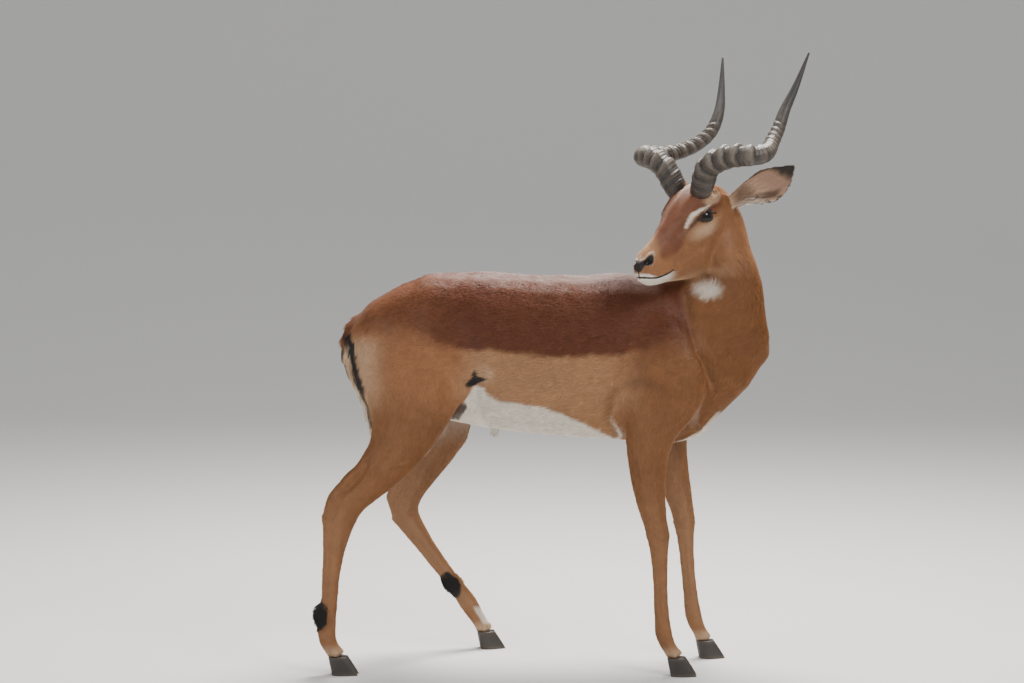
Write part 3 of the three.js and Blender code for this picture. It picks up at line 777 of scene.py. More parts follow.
def gland_measure(points, leg):
    """1 on the edge of the black tuft above a hind hoof, less within it."""
    at, lean = GLANDS[leg]
    x, y, z = (points - np.array(at)).T
    cos, sin = math.cos(math.radians(lean)), math.sin(math.radians(lean))
    across = np.hypot(x * cos + z * sin, y)
    return np.hypot(across / 19, (z * cos - x * sin) / 29)


def leg_colour(points, leg, wobble, fine):
    line = np.array(LEG_LINES[leg], float)
    z = points[:, 2]
    centre_y = np.interp(near_line(points, line)[1], np.linspace(0, 1, len(line)), line[:, 1])
    inner = (centre_y - points[:, 1]) * (1 if "left" in leg else -1)
    shin = points[:, 0] - follow(line[::-1], z, 2, 0)
    white_from = (450, 530) if "hind" in leg else (500, 560)
    colour = mix(
        plain(LEG_FAWN, points),
        (FAWN, 0.35 * step(420, 300, z)),
        (WHITE, 0.6 * step(4, 24, inner + 6 * wobble) * step(*white_from, z)),
        (CREAM, 0.12 * step(0, 14, inner + 4 * wobble) * step(60, 120, z)),
        (WHITE, elbow_share(points, fine) * ("fore" in leg)),
        # darker down the front of the shin, paler above the hoof
        (RUFOUS, 0.5 * step(6, 16, shin + 3 * wobble) * step(70, 130, z)),
        (CREAM, 0.7 * step(70, 46, z)),
        (DARK_BROWN, 0.55 * step(44, 39, z + fine)),
    )
    if leg == "hind_left":
        pastern = step(2, 8, shin) * step(52, 62, z) * step(100, 86, z + 4 * fine)
        colour = mix(colour, (WHITE, 0.8 * pastern))
    if leg in GLANDS:
        colour = mix(colour, (BLACK, step(1.12, 0.94, gland_measure(points, leg) + 0.1 * fine)))
    return colour


def head_colour(points, wobble, fine):
    head = to_head(points)
    x, y, z = head.T
    away = np.abs(y)
    face = head[:, [0, 2]]
    edge = follow(CHESTNUT_EDGE, x)
    chestnut = step(-9, 9, z - edge + 4 * wobble) * step(-60, -30, x)
    chestnut = chestnut * step(142, 118, x + 0.4 * (z + 40))
    crown = step(10, 34, z + 3 * wobble) * step(-20, 8, x) * step(44, 30, x)
    bridge = step(16, 7, away) * step(20, 44, x) * step(150, 130, x) * step(-10, 4, z - edge)
    # pale grey-buff below the eye, and above it back to the ear
    below_eye = np.hypot((x - 14) / 34, (z + 24 + 0.25 * (x - 14)) / 16) + 0.15 * wobble
    above_eye = np.hypot((x + 22 + 0.5 * (z - 28)) / 26, (z - 28) / 13) + 0.1 * wobble
    white = band(face, BROW_WHITE_AND_LID_HIGHLIGHT, [0, 0.2, 0.45, 0.7, 1], [1.4, 3.0, 3.4, 2.2, 1.0], 2.4, 1.8,
                 0.8 * fine)
    lips = step(2, -4, z + 74 + 0.48 * (174 - x) + 1.4 * fine) * step(108, 150, x)
    layers = [
        (RUFOUS, 0.5 * step(-30, -90, x)),
        (CHESTNUT, (0.80 + 0.10 * wobble) * chestnut),
        (RUFOUS, 0.3 * step(14, 40, z) * step(60, 20, x)),
        (CHESTNUT, 0.5 * crown),
        (np.array(CHESTNUT) * 0.9, 0.4 * bridge),
        (MUZZLE_TAN, step(112, 132, x + 0.35 * (z + 40)) * step(-62, -54, z)),
        (CREAM, 0.68 * step(1.5, 0.25, below_eye) * step(20, 34, away)),
        (CREAM, 0.60 * step(1.25, 0.5, above_eye) * step(20, 34, away)),
        (CREAM, 0.30 * step(-96, -124, z) * step(90, 40, x) * step(-50, 0, x)),  # the throat
        # the white brow, with a painted highlight on the upper lid's rim where it runs over the eye
        (WHITE, 0.9 * white * step(20, 30, away)),
        (WHITE, 0.9 * lips),
        (np.array(WHITE) * 0.8, 0.95 * step(-89, -94, z + 0.5 * fine) * step(78, 118, x)),  # the chin, its white darkened by a fifth as painted shade
        (CREAM, 0.8 * step(-106, -120, z) * step(40, 90, x)),
    ]
    for side in (1, -1):
        g, up = nostril_measure(head, side)
        rim = np.exp(-(((g - 1.34) / 0.14) ** 2)) * step(-1, 3, up)
        layers += [(NOSE_RIM, 0.6 * rim), (BLACK, step(1.20, 1.00, g + 0.03 * fine))]
    # the black of the nose and the parting of the lips
    pad = np.hypot(away / 12.5, (z + 62) / 12)
    tip = np.hypot(away / 9, (z + 49) / 6)
    between = band(np.column_stack([x, away, z]), NOSE_MIDDLE, [0], [7.25], 1.25, 1.25, fine)
    distance, along = mouth_distance(head)
    layers += [
        (BLACK, step(1.08, 0.92, pad + 0.04 * fine) * step(154, 158, x)),
        (BLACK, between),
        (NOSE_RIM, 0.35 * step(1.3, 0.7, tip) * step(154, 160, x)),
        (BLACK, step(2.4, 1.0, away) * step(160, 165, x) * step(-90, -86, z) * step(-66, -70, z)),
        (BLACK, step(2.6, 1.4, distance + 0.3 * fine) * step(0, 0.06, along)),
    ]
    # the dark rims of the eyes and the tear line
    for side in (1, -1):
        rel = head - eye_centre(side)
        along, up, facing = lid_place(rel, side)
        wide = 1.17 + 0.28 * step(6, 20, along) + 0.08 * step(-8, -20, along) + 0.05 * step(2, -4, up)
        rim = step(wide + 0.06, wide - 0.05, lid_measure(along, up))
        layers.append((BLACK, rim * (facing > 0.02) * (np.linalg.norm(rel, axis=1) < 30)))
    tear = band(face, TEAR_LINE, [0, 0.3, 0.7, 1], [4.2, 3.0, 2.0, 1.0], 1.4, 1.2)
    tear = tear * step(20, 28, away) * (1 - 0.55 * near_line(face, TEAR_LINE)[1])
    return mix(plain(FACE_TAN, points), *layers, (DARK_BROWN, tear))


def head_share(points, on_neck):
    """1 on the head, 0 on the neck, passing over behind the jaw."""
    x, y, z = to_head(points).T
    # how far in front of the line from poll to throat
    ahead = ((x + 58) * 140 + (z + 100) * 48) / 148
    if on_neck:
        return step(-24, 24, ahead) * step(-140, -112, z) * step(40, 10, x) * step(92, 74, np.abs(y))
    return step(-24, 24, ahead) * np.maximum(step(-150, -112, z), step(40, 80, x))


def sides_of(head):
    """1 on the head's left side and -1 on its right."""
    return np.where(head[:, 1] > 0, 1.0, -1.0)


def ear_place(points):
    """For each point: its share of the ear's length, and its place across it from -1 at the lower
    edge to 1 at the upper one."""
    head = to_head(points)
    one = np.ones(len(head))
    rel = head * np.column_stack([one, sides_of(head), one]) - np.array(EAR_ROOT)
    reach = np.array(EAR_REACH)
    share = rel @ reach / (reach @ reach)
    off = rel - share[:, None] * reach
    stations = [-0.06, 0.14, 0.34, 0.55, 0.76, 0.92, 1.0]
    width = np.interp(share, stations, [15, 20, 31, 38, 31, 14, 4])
    drop = np.interp(share, stations, [0, 0, 3, 8, 8, 3, 0])
    return share, (off[:, 2] + drop) / width


def ear_colour(points, inside, fine):
    share, across = ear_place(points)
    back = mix(plain(np.array(FACE_TAN) * 0.9, points), (RUFOUS, 0.5 * step(0.3, 0.0, share)))
    streaks = 0.5 + 0.5 * np.sin(across * 26 + 3 * fine)
    # where the painted shadow in the hollow of the cup lies
    hollow = np.hypot((share - 0.44) / 0.24, (across + 0.50) / 0.22)
    cup = mix(
        plain(EAR_PINK, points),
        (CREAM, 0.55 * streaks * step(0.62, 0.30, share)),
        # dark brown painted shadow in the hollow of the cup
        (DARK_BROWN, 0.85 * step(1.25, 0.45, hollow + 0.15 * fine)),
        (DARK_BROWN, 0.6 * step(0.22, 0.08, np.hypot(share - 0.16, 0.16 * across))),
        (WHITE, 0.80 * step(-0.74, -0.90, across + 0.05 * fine) * step(0.02, 0.12, share)),
        (WHITE, 0.5 * streaks * step(-0.30, -0.55, across) * step(0.5, 0.2, share)),
    )
    return mix(
        back,
        (cup, inside),
        (WHITE, 0.8 * step(-0.82, -0.92, across) * step(0.05, 0.15, share)),
        (BLACK, 0.95 * step(0.72, 0.86, share + 0.03 * fine + 0.12 * across)),
        (DARK_BROWN, 0.9 * step(0.70, 0.84, across) * step(0.1, 0.4, share)),
    )


def neck_colour(points, wobble, fine):
    head = to_head(points)
    high = points[:, 2]
    x, y, z = (points - THROAT_AT).T
    streak = 5 * noise(points * (1, 1, 0.2), 3.5, 11)
    patch = np.hypot(np.hypot(x, y) / 33, (z + streak) / 21)
    nape = step(0, -60, head[:, 0]) * step(30, 8, np.abs(head[:, 1])) * step(700, 760, high)
    return mix(
        plain(RUFOUS, points),
        (FACE_TAN, step(800, 880, high)),
        (WHITE, 0.8 * step(1.35, 0.5, patch + 0.15 * wobble + 0.08 * fine)),
        (np.array(RUFOUS) * 0.8, 0.4 * nape),
    )


def tail_colour(points, fine):
    x, y, z = points.T
    edge = step(5, 10, follow(TAIL_LINE[::-1], z, 2, 0) - x + 1.5 * fine)
    return mix(
        plain(CREAM, points),
        (WHITE, 0.6 * step(620, 560, z)),
        (DARK_BROWN, 0.9 * edge),
        (THIGH_FAWN, step(676, 700, z + 4 * fine)),
        (SADDLE, 0.8 * step(690, 712, z + 4 * fine)),
        (BLACK, stripe_share(points, fine)),
        (BLACK, 0.75 * step(7, 3, np.abs(y)) * edge * step(700, 680, z)),
    )


def body_colour(points, kind, leg_of, inside):
    """The coat's colour at each point of the body. `kind` and `leg_of` name the part it is on."""
    wobble, fine = noise(points, 26, 3), noise(points, 7, 4)
    colour = trunk_colour(points, wobble, fine)
    for name in np.unique(kind):
        m = kind == name
        p, w, f = points[m], wobble[m], fine[m]
        if name == "neck":
            low = step(-16, 16, p[:, 0] - follow(NECK_FOLD, p[:, 2], 1, 0) + 4 * w)
            colour[m] = mix(colour[m], (neck_colour(p, w, f), low),
                            (head_colour(p, w, f), head_share(p, True)))
        elif name in HEAD_KINDS:
            colour[m] = mix(neck_colour(p, w, f), (head_colour(p, w, f), head_share(p, False)))
        elif name == "tail":
            colour[m] = tail_colour(p, f)
        elif name == "ear":
            colour[m] = ear_colour(p, inside[m], f)
    for leg in LEG_NAMES:
        on = leg_of == leg
        p = points[on]
        # a leg passes into the trunk's own colours where it joins it
        blend = step(520, 600 if "hind" in leg else 590, p[:, 2])
        if leg == "hind_right":
            ahead = p[:, 0] - follow(THIGH_FRONT, p[:, 2], 1, 0)
            blend = np.maximum(blend, step(-3, 5, ahead) * step(440, 470, p[:, 2]))
        own = leg_colour(p, leg, wobble[on], fine[on])
        colour[on] = mix(own, (colour[on], blend))
    shade = 1 + 0.05 * noise(points, 60, 5) + 0.04 * noise(points, 14, 6)
    return np.clip(colour * shade[:, None], 0.004, 0.95)


# ---------------------------------------------------------------- the lie of the coat


def lie_of_coat(points, normals, kind, leg_of, edges):
    """The way the hair lies at each point of the skin, along the surface."""
    x, y, z = points.T
    lie = np.tile((-1.0, 0.0, -0.22), (len(points), 1))
    lie[:, 2] -= 1.4 * step(-330, -420, x) + 0.9 * step(300, 370, x) + 0.25 * step(-160, -260, x)
    lie[:, 1] -= 0.35 * np.sign(y) * step(540, 500, z)
    for leg, line in LEG_LINES.items():
        on = leg_of == leg
        _, _, way = near_line(points[on], line)
        high = step(560, 680, points[on][:, 2])[:, None]
        lie[on] = way * (1 - high) + lie[on] * high
    on = kind == "neck"
    _, _, way = near_line(points[on], NECK_LINE)
    lie[on] = way + 0.25 * np.array((-1.0, 0, 0)) * step(860, 760, points[on][:, 2])[:, None]
    on = np.isin(kind, HEAD_KINDS)
    head = to_head(points[on])
    back = np.column_stack([
        -np.ones(on.sum()),
        0.25 * np.sign(head[:, 1]),
        np.where(head[:, 2] > 10, 0.1, -0.28),
    ])
    lie[on] = back @ HEAD_TURN.T
    on = kind == "ear"
    side = sides_of(to_head(points[on]))
    one = np.ones(len(side))
    lie[on] = unit(np.column_stack([one, side, one]) * EAR_REACH) @ HEAD_TURN.T
    on = kind == "tail"
    lie[on] = near_line(points[on], TAIL_LINE)[2]
    lie = smoothed(unit(lie), edges, 14)
    lie = lie - normals * dot(lie, normals)[:, None]
    return unit(lie)


# ---------------------------------------------------------------- tufts

# For each kind of coat: the skin each tuft covers (square mm), its length and width, and the
# coat's depth there.
COAT = {
    "trunk": (5.6, 11.0, 1.7, 4.0),
    "neck": (5.0, 10.0, 1.6, 4.0),
    "head": (2.3, 5.2, 1.1, 2.0),
    "muzzle": (1.5, 2.6, 0.7, 1.0),
    "ear": (2.4, 6.0, 1.1, 1.0),
    "leg": (5.0, 9.5, 1.6, 2.8),
    "cannon": (2.9, 6.0, 1.2, 1.6),
    "tail": (2.6, 24.0, 1.6, 7.0),
    "gland": (1.5, 12.0, 1.4, 7.0),
}
TUFT_PATCH = 0.0015  # half of a tuft's patch on the map of the coat's colours


def coat_kinds(points, kind):
    kinds = kind.astype("<U9")
    kinds[np.isin(kind, HEAD_KINDS)] = "head"
    head = to_head(points)
    kinds[(kinds == "head") & (head[:, 0] > 96)] = "muzzle"
    kinds[gland_distance(points) < 27] = "gland"
    return kinds


def bare(points):
    """True where no hair grows: the nose, the parting of the lips, the rims of the eyes."""
    head = to_head(points)
    found = mouth_distance(head)[0] < 1.6
    for side in (1, -1):
        found |= nostril_measure(head, side)[0] < 1.2
        rel = head - eye_centre(side)
        along, up, facing = lid_place(rel, side)
        found |= (lid_measure(along, up) < 1.12) & (np.linalg.norm(rel, axis=1) < 26) & (facing > 0.05)
    pad = np.hypot(head[:, 1] / 11.5, (head[:, 2] + 64) / 11) < 1.0
    return found | pad & (head[:, 0] > 158)


def scatter(points, tri, cells):
    """Places spread evenly over the skin: the triangle of each and its corner shares."""
    a, b, c = (points[tri[:, k]] for k in range(3))
    area = np.linalg.norm(np.cross(b - a, c - a), axis=1) / 2
    wanted = np.cumsum(area / cells)
    count = int(wanted[-1])
    chosen = np.searchsorted(wanted, np.arange(count) + RNG.random(count))
    chosen = np.minimum(chosen, len(tri) - 1)
    u, v = RNG.random(count), RNG.random(count)
    flip = u + v > 1
    u[flip], v[flip] = 1 - u[flip], 1 - v[flip]
    return chosen, np.column_stack([1 - u - v, u, v])


def unwrap(nodes):
    """The CAD nodes unwrapped flat: a tree over their triangles, with each corner's place."""
    points, tri, _ = joined(nodes)
    mesh = new_mesh("unwrap", points, tri)
    patch = placed("unwrap", mesh)
    bpy.context.view_layer.objects.active = patch
    patch.select_set(True)
    bpy.ops.object.mode_set(mode="EDIT")
    bpy.ops.mesh.select_all(action="SELECT")
    bpy.ops.uv.smart_project(angle_limit=math.radians(70), island_margin=0.012)
    bpy.ops.object.mode_set(mode="OBJECT")
    corners, co = triangles_of(mesh), vertices_of(mesh)
    uv = read(mesh.uv_layers.active.data, "uv", 2, np.float32)
    uv = uv[read(mesh.loop_triangles, "loops", 3)]
    bpy.data.objects.remove(patch)
    return BVHTree.FromPolygons(co.tolist(), corners.tolist()), co[corners], uv


def map_places(points, nodes):
    """Where each point of the coat falls on the unwrap of its part of the body."""
    tree, corners, uv = unwrap(nodes)
    found = [tree.find_nearest(Vector(p)) for p in points]
    index = np.array([f[2] for f in found])
    near = np.array([f[0] for f in found])
    a, b, c = (corners[index, k] for k in range(3))
    whole = np.cross(b - a, c - a)
    size = dot(whole, whole)
    share_b = dot(np.cross(near - a, c - a), whole) / size
    share_c = dot(np.cross(b - a, near - a), whole) / size
    shares = np.clip(np.column_stack([1 - share_b - share_c, share_b, share_c]), 0, 1)
    return np.sum(uv[index] * shares[:, :, None], axis=1)


def make_tufts(name, roots, normals, lie, sizes, colours, nodes, material):
    """A piece of coat: a closed lock of four faces at each root, broad at the root and pointed."""
    count = len(roots)
    long, wide, back_up, tip_up = sizes
    across = np.cross(normals, lie)
    half = across * (wide / 2)[:, None]
    foot = roots - normals * 0.5
    ridge = roots + lie * (0.38 * long)[:, None] + normals * back_up[:, None]
    tip = roots + lie * long[:, None] + normals * tip_up[:, None]
    points = np.stack([foot - half, foot + half, ridge, tip], axis=1).reshape(-1, 3)
    corner = np.array([(0, 3, 2), (1, 2, 3), (0, 2, 1), (0, 1, 3)])
    faces = (np.arange(count)[:, None, None] * 4 + corner).reshape(-1, 3)
    mesh = new_mesh(name, points, faces)
    # each lock darker at its foot, painted shade where it lies under the others, and a little lighter at its
    # tip
    tone = np.array((0.72, 0.72, 1.0, 1.12))
    paint(mesh, "coat", np.clip((colours[:, None, :] * tone[:, None]).reshape(-1, 3), 0, 1))
    place = map_places(roots, nodes)
    offset = TUFT_PATCH * np.array([(-1, -1), (1, -1), (0, 0), (0, 1)])
    spots = np.clip(place[:, None, :] + offset, 0.0005, 0.9995).reshape(-1, 2)
    layer = mesh.uv_layers.new(name="OFBake")
    layer.data.foreach_set("uv", spots[faces.ravel()].astype(np.float32).ravel())
    # softened normals, so that the locks shade as one coat
    soft = np.stack([
        unit(normals - 0.5 * across),
        unit(normals + 0.5 * across),
        normals,
        unit(normals + 0.2 * lie),
    ], axis=1).reshape(-1, 3)
    mesh.normals_split_custom_set_from_vertices(soft.tolist())
    add_piece(name, mesh, material)


def piece_names(points, kind, leg_of):
    """The piece of coat that each root belongs to."""
    x, y, z = points.T
    area = np.where(z > follow(SADDLE_EDGE, x), "coat_saddle_", "coat_flank_")
    names = np.char.add(area, np.where(y > 0, "left", "right")).astype("<U24")
    names[(z < follow(BELLY_EDGE, x)) & (x > -240)] = "coat_belly"
    names[kind == "neck"] = "coat_neck"
    names[np.isin(kind, HEAD_KINDS)] = "coat_head"
    names[kind == "ear"] = "coat_ears"
    names[kind == "tail"] = "coat_tail"
    for leg in LEG_NAMES:
        names[leg_of == leg] = "coat_" + leg
    return names


# the pieces of coat and the CAD nodes that each grows on
TRUNK_PIECES = ("saddle_left", "saddle_right", "flank_left", "flank_right", "belly")
PIECE_NODES = {"coat_" + part: ["trunk"] for part in TRUNK_PIECES} | {
    "coat_neck": ["neck"],
    "coat_head": ["head", "lower_jaw"],
    "coat_ears": ["ear_left", "ear_right"],
    "coat_tail": ["tail"],
} | {"coat_" + leg: [leg, leg + "_cannon"] for leg in LEG_NAMES}


def grow_coat(points, tri, normals, lie, kind, leg_of, material):
    """Grows every piece of the coat on the skin, and returns the number of its tufts."""
    kinds = coat_kinds(points, kind)
    names = list(COAT)
    table = np.array([COAT[n] for n in names])
    row = np.array([names.index(k) for k in kinds])
    corner = tri[:, 0]
    chosen, shares = scatter(points, tri, table[row[corner], 0])
    at = lambda values: np.sum(values[tri[chosen]] * shares[:, :, None], axis=1)
    roots, normal, way = at(points), unit(at(normals)), at(lie)
    first = corner[chosen]
    keep = ~bare(roots)
    roots, normal, way, first = roots[keep], normal[keep], way[keep], first[keep]
    count = len(roots)
    cell, long, wide, deep = table[row[first]].T
    root_kind, root_leg = kind[first], leg_of[first]
    # locks swing a little from the lie of their neighbours, together over a few millimetres
    side = np.cross(normal, unit(way))
    rough = (root_kind == "trunk") * step(730, 790, roots[:, 2])
    swing = (0.16 + 0.2 * rough) * noise(roots, 16, 7) + (0.10 + 0.12 * rough) * noise(roots, 6, 8)
    swing = swing + 0.10 * (RNG.random(count) - 0.5)
    way = unit(way) + side * swing[:, None]
    way = unit(way - normal * dot(way, normal)[:, None])
    inside = cup_side(roots, normal)
    colours = body_colour(roots, root_kind, root_leg, inside)
    tone = 1 + 0.34 * (RNG.random(count) - 0.5) + 0.08 * noise(roots, 9, 9)
    colours = np.clip(colours * tone[:, None], 0.003, 0.95)
    long = long * (0.8 + 0.4 * RNG.random(count))
    wide = wide * (0.85 + 0.3 * RNG.random(count))
    rise = 0.45 + 0.35 * RNG.random(count) + (0.16 + 0.25 * rough) * noise(roots, 12, 10)
    rise = rise - 0.25 * (root_kind == "tail")
    tip_up = deep * np.clip(rise, 0.25, 1.0)
    back_up = 0.55 * tip_up + 0.15
    piece = piece_names(roots, root_kind, root_leg)
    for name, nodes in PIECE_NODES.items():
        on = piece == name
        sizes = (long[on], wide[on], back_up[on], tip_up[on])
        make_tufts(name, roots[on], normal[on], way[on], sizes, colours[on], nodes,
                   material)
    return count


def cup_side(points, normals):
    """1 on the inner face of an ear's cup."""
    side = sides_of(to_head(points))
    out = np.column_stack([np.full(len(side), 0.76), 0.52 * side, np.zeros(len(side))])
    return step(-0.05, 0.25, dot(normals @ HEAD_TURN, out))


# ---------------------------------------------------------------- horns, hooves and eyes

HORN_LINE = [(5, -24, -36), (-2, 0, 10), (-8, 22, 48), (2, 62, 67), (18, 98, 70), (45, 108, 71),
             (78, 98, 75), (112, 80, 83), (143, 63, 98), (176, 52, 125), (200, 51, 166),
             (221, 62, 214), (244, 78, 284)]
HORN_RADII = [13, 23.5, 24.5, 24, 22, 19.5, 17.5, 16.2, 15.2, 14, 11.5, 7.5, 2]
HORN_ROOT = (-14.0, 37.0, 48.0)
# how far from the root each ridge stands, mm
RIDGES = [52, 72, 94, 118, 143, 168, 193, 218, 242, 265, 287, 308, 328, 347, 365, 382, 398]
RIDGE_HEIGHT = 0.24  # of the radius, crest to hollow, on a horn's front
RIDGES_FADE = (340, 415)
HORN_SIDES, HORN_RINGS = 56, 520
# the ridges' crests carry a painted highlight, and the hollows between them painted shadow
HORN_GREY, HORN_CREST_HIGHLIGHT = (0.062, 0.049, 0.038), (0.132, 0.110, 0.088)
HORN_HOLLOW_SHADOW, HORN_TIP = (0.022, 0.018, 0.015), (0.034, 0.032, 0.034)
ROOT_REACH = 110  # how far from a horn's root its ring of hair and the skin under it are sought
ROOT_TRIES = 5200


def side_name(side):
    return "left" if side > 0 else "right"


def tube(rings):
    """Faces of a closed tube through equal rings of points, with a point at each end."""
    count, sides = rings.shape[:2]
    r, k = np.meshgrid(np.arange(count - 1), np.arange(sides), indexing="ij")
    a, b = r * sides + k, r * sides + (k + 1) % sides
    quads = np.stack([a, b, b + sides, a + sides], axis=-1).reshape(-1, 4)
    first = np.column_stack([quads[:, 0], quads[:, 1], quads[:, 2]])
    second = np.column_stack([quads[:, 0], quads[:, 2], quads[:, 3]])
    hubs = count * sides
    k = np.arange(sides)
    start = np.column_stack([np.full(sides, hubs), (k + 1) % sides, k])
    last = (count - 1) * sides
    end = np.column_stack([np.full(sides, hubs + 1), last + k, last + (k + 1) % sides])
    points = np.concatenate([rings.reshape(-1, 3), rings[0].mean(0)[None], rings[-1].mean(0)[None]])
    return points, np.concatenate([first, second, start, end])


def make_horn(side, material):
    """A ridged horn. Returns the points of its rings, and the outward way and the horn's own way
    at each."""
    root = from_head(np.array(HORN_ROOT) * (1, side, 1))
    back = np.array((-math.cos(HEAD_YAW), -math.sin(HEAD_YAW), 0))
    out = np.array((-math.sin(HEAD_YAW), math.cos(HEAD_YAW), 0)) * side
    line = np.array([root + b * back + o * out + np.array((0, 0, u)) for b, o, u in HORN_LINE])
    t = np.linspace(0, 1, HORN_RINGS)
    centre = smooth_list(line, t)
    radius = smooth_list(np.array(HORN_RADII)[:, None], t)[:, 0]
    way = unit(np.gradient(centre, axis=0))
    run = np.concatenate([[0], np.cumsum(np.linalg.norm(np.diff(centre, axis=0), axis=1))])
    front = unit(-0.6 * back + np.array((0, 0, 0.8)))
    fore = unit(front - way * dot(way, front)[:, None])
    over = np.cross(way, fore)
    angle = np.linspace(0, 2 * math.pi, HORN_SIDES, endpoint=False)
    c, s = np.cos(angle), np.sin(angle)
    # each ridge climbs slowly to its crest, drops away sharply, slants round the horn and all but
    # dies out on the horn's underside
    slant = run[:, None] + 5.5 * s[None, :] * side + 2.0 * c[None, :]
    marks = np.array(RIDGES, float)
    turn = np.interp(slant, marks, np.arange(len(marks)), left=-0.01, right=len(marks) - 1)
    part = turn - np.floor(turn)
    saw = np.where(part < 0.22, 1 - step(0, 0.22, part), step(0.2, 1.0, part) ** 1.4)
    amount = RIDGE_HEIGHT * step(25, 130, slant) * step(RIDGES_FADE[1], RIDGES_FADE[0], slant)
    on_front = 0.22 + 0.78 * step(-0.65, 0.6, c)[None, :]
    grain = 0.012 * np.sin(9 * angle + 0.6)[None, :] + 0.008 * np.sin(17 * angle)[None, :]
    growth = 0.014 * np.sin(slant * 2 * math.pi / 6.3) * step(20, 60, slant) * step(420, 300, slant)
    size = radius[:, None] * (0.985 + amount * on_front * (saw - 0.55) + grain + growth)
    spots = np.stack([
        np.broadcast_to(run[:, None] * 0.5, size.shape),
        np.broadcast_to(angle * 18, size.shape),
        np.zeros(size.shape),
    ], axis=-1).reshape(-1, 3)
    size = size + 0.02 * noise(spots, 4, 12).reshape(size.shape) * radius[:, None]
    outward = c[None, :, None] * fore[:, None] + s[None, :, None] * over[:, None]
    rings = centre[:, None] + size[..., None] * outward
    points, faces = tube(rings)
    node = "horn_" + side_name(side)
    mesh = new_mesh(node + "_ridged", points, faces)
    crest = (saw * on_front * (amount / RIDGE_HEIGHT)).ravel()
    length = np.repeat(run / run[-1], HORN_SIDES)
    colour = mix(
        plain(HORN_GREY, crest),
        # painted highlight on the crests of the ridges
        (HORN_CREST_HIGHLIGHT, 0.85 * step(0.35, 0.95, crest)),
        # painted shadow in the hollows between the ridges
        (HORN_HOLLOW_SHADOW, 0.8 * step(0.22, 0.0, crest) * step(0.80, 0.62, length)),
        (HORN_TIP, 0.85 * step(0.66, 0.84, length)),
    )
    paint(mesh, "tint", np.concatenate([colour, colour[:1], colour[-1:]]))
    add_piece(mesh.name, mesh, material, [node])
    along = np.broadcast_to(way[:, None], rings.shape)
    return rings.reshape(-1, 3), outward.reshape(-1, 3), along.reshape(-1, 3)


def make_root_hair(side, rings, outward, along, material):
    """The hair of the crown that lies up against a horn's root."""
    tree = KDTree(len(near_horns))
    for number, vertex in enumerate(near_horns):
        tree.insert(skin_points[vertex], number)
    tree.balance()
    low = np.where(np.linalg.norm(rings - rings[0], axis=1) < ROOT_REACH)[0]
    low = RNG.choice(low, ROOT_TRIES, replace=False)
    nearest = near_horns[[tree.find(p)[1] for p in rings[low]]]
    above = dot(rings[low] - skin_points[nearest], skin_normals[nearest])
    on = (above > -1.5) & (above < 8.0)
    low, nearest = low[on], nearest[on]
    count = len(low)
    out = outward[low]
    way = unit(along[low] + 0.22 * out + 0.25 * (RNG.random((count, 3)) - 0.5))
    tone = 1 + 0.34 * (RNG.random(count) - 0.5)
    sizes = (8 + 6 * RNG.random(count), 1.3 + 0.5 * RNG.random(count), np.full(count, 1.0),
             0.6 + 1.4 * RNG.random(count))
    make_tufts("coat_horn_root_" + side_name(side), rings[low] - 0.3 * out, out,
               unit(way - out * dot(way, out)[:, None]), sizes,
               skin_colour[nearest] * tone[:, None], ["head"], material)
    return count


CLAW_SPACING = 20.4
# A claw from the coronet to the sole: forward shift, height, reach to the front, half-width.
CLAW = [(2, 38, 18, 8.4), (4, 26, 24, 9.2), (7, 12, 30, 9.8), (9, 0, 35, 9.4)]
CLAW_HEEL = 19
CLAW_DARK, CLAW_EDGE = (0.030, 0.024, 0.020), (0.10, 0.075, 0.055)
CLAW_CORONET = (0.075, 0.055, 0.042)
EYE_DARK, EYE_PUPIL = (0.010, 0.007, 0.005), (0.003, 0.003, 0.004)
EYE_IRIS, EYE_BACK = (0.012, 0.007, 0.005), (0.012, 0.008, 0.006)
LASHES = 22  # on each upper lid


def make_claw(leg, where, material):
    foot = LEG_LINES[leg][-1]
    side = (1 if "left" in leg else -1) * (1 if where == "outer" else -1)
    toe = math.radians(TOES[leg])
    fore = np.array((math.cos(toe), math.sin(toe), 0))
    over = np.array((-math.sin(toe), math.cos(toe), 0))
    sides, count = 44, 18
    t = np.linspace(0, 1, count)
    shift, high, reach, half = smooth_list(CLAW, t).T
    high = np.clip(high, 0, 37.6)
    angle = np.linspace(0, 2 * math.pi, sides, endpoint=False)
    c, s = np.cos(angle), np.sin(angle)
    long = np.where(c > 0, reach[:, None] * c, CLAW_HEEL * c)
    point = 1 - 0.20 * np.clip(c, 0, 1) ** 2
    flat = np.where(s * side < 0, 0.94, 1.0)  # the side towards the other claw is flatter
    wide = half[:, None] * s * point * flat
    lap = 1 + 0.008 * np.sin(np.linspace(0, 26, count))[:, None]
    base = np.array((foot[0], foot[1], 0.0)) + over * side * CLAW_SPACING / 2
    rings = (
        base
        + (shift[:, None] + long * lap)[..., None] * fore
        + wide[..., None] * over
        + high[:, None, None] * np.array((0, 0, 1.0))
    )
    points, faces = tube(rings[::-1])
    mesh = new_mesh(f"hoof_{leg}_{where}", points, faces)
    rise = points[:, 2] / 38
    paint(mesh, "tint", mix(
        plain(CLAW_DARK, points),
        (CLAW_EDGE, 0.6 * step(0.25, 0.0, rise)),
        (CLAW_CORONET, 0.5 * step(0.75, 1.0, rise)),
    ))
    add_piece(mesh.name, mesh, material, [f"{leg}_claw_{where}"])


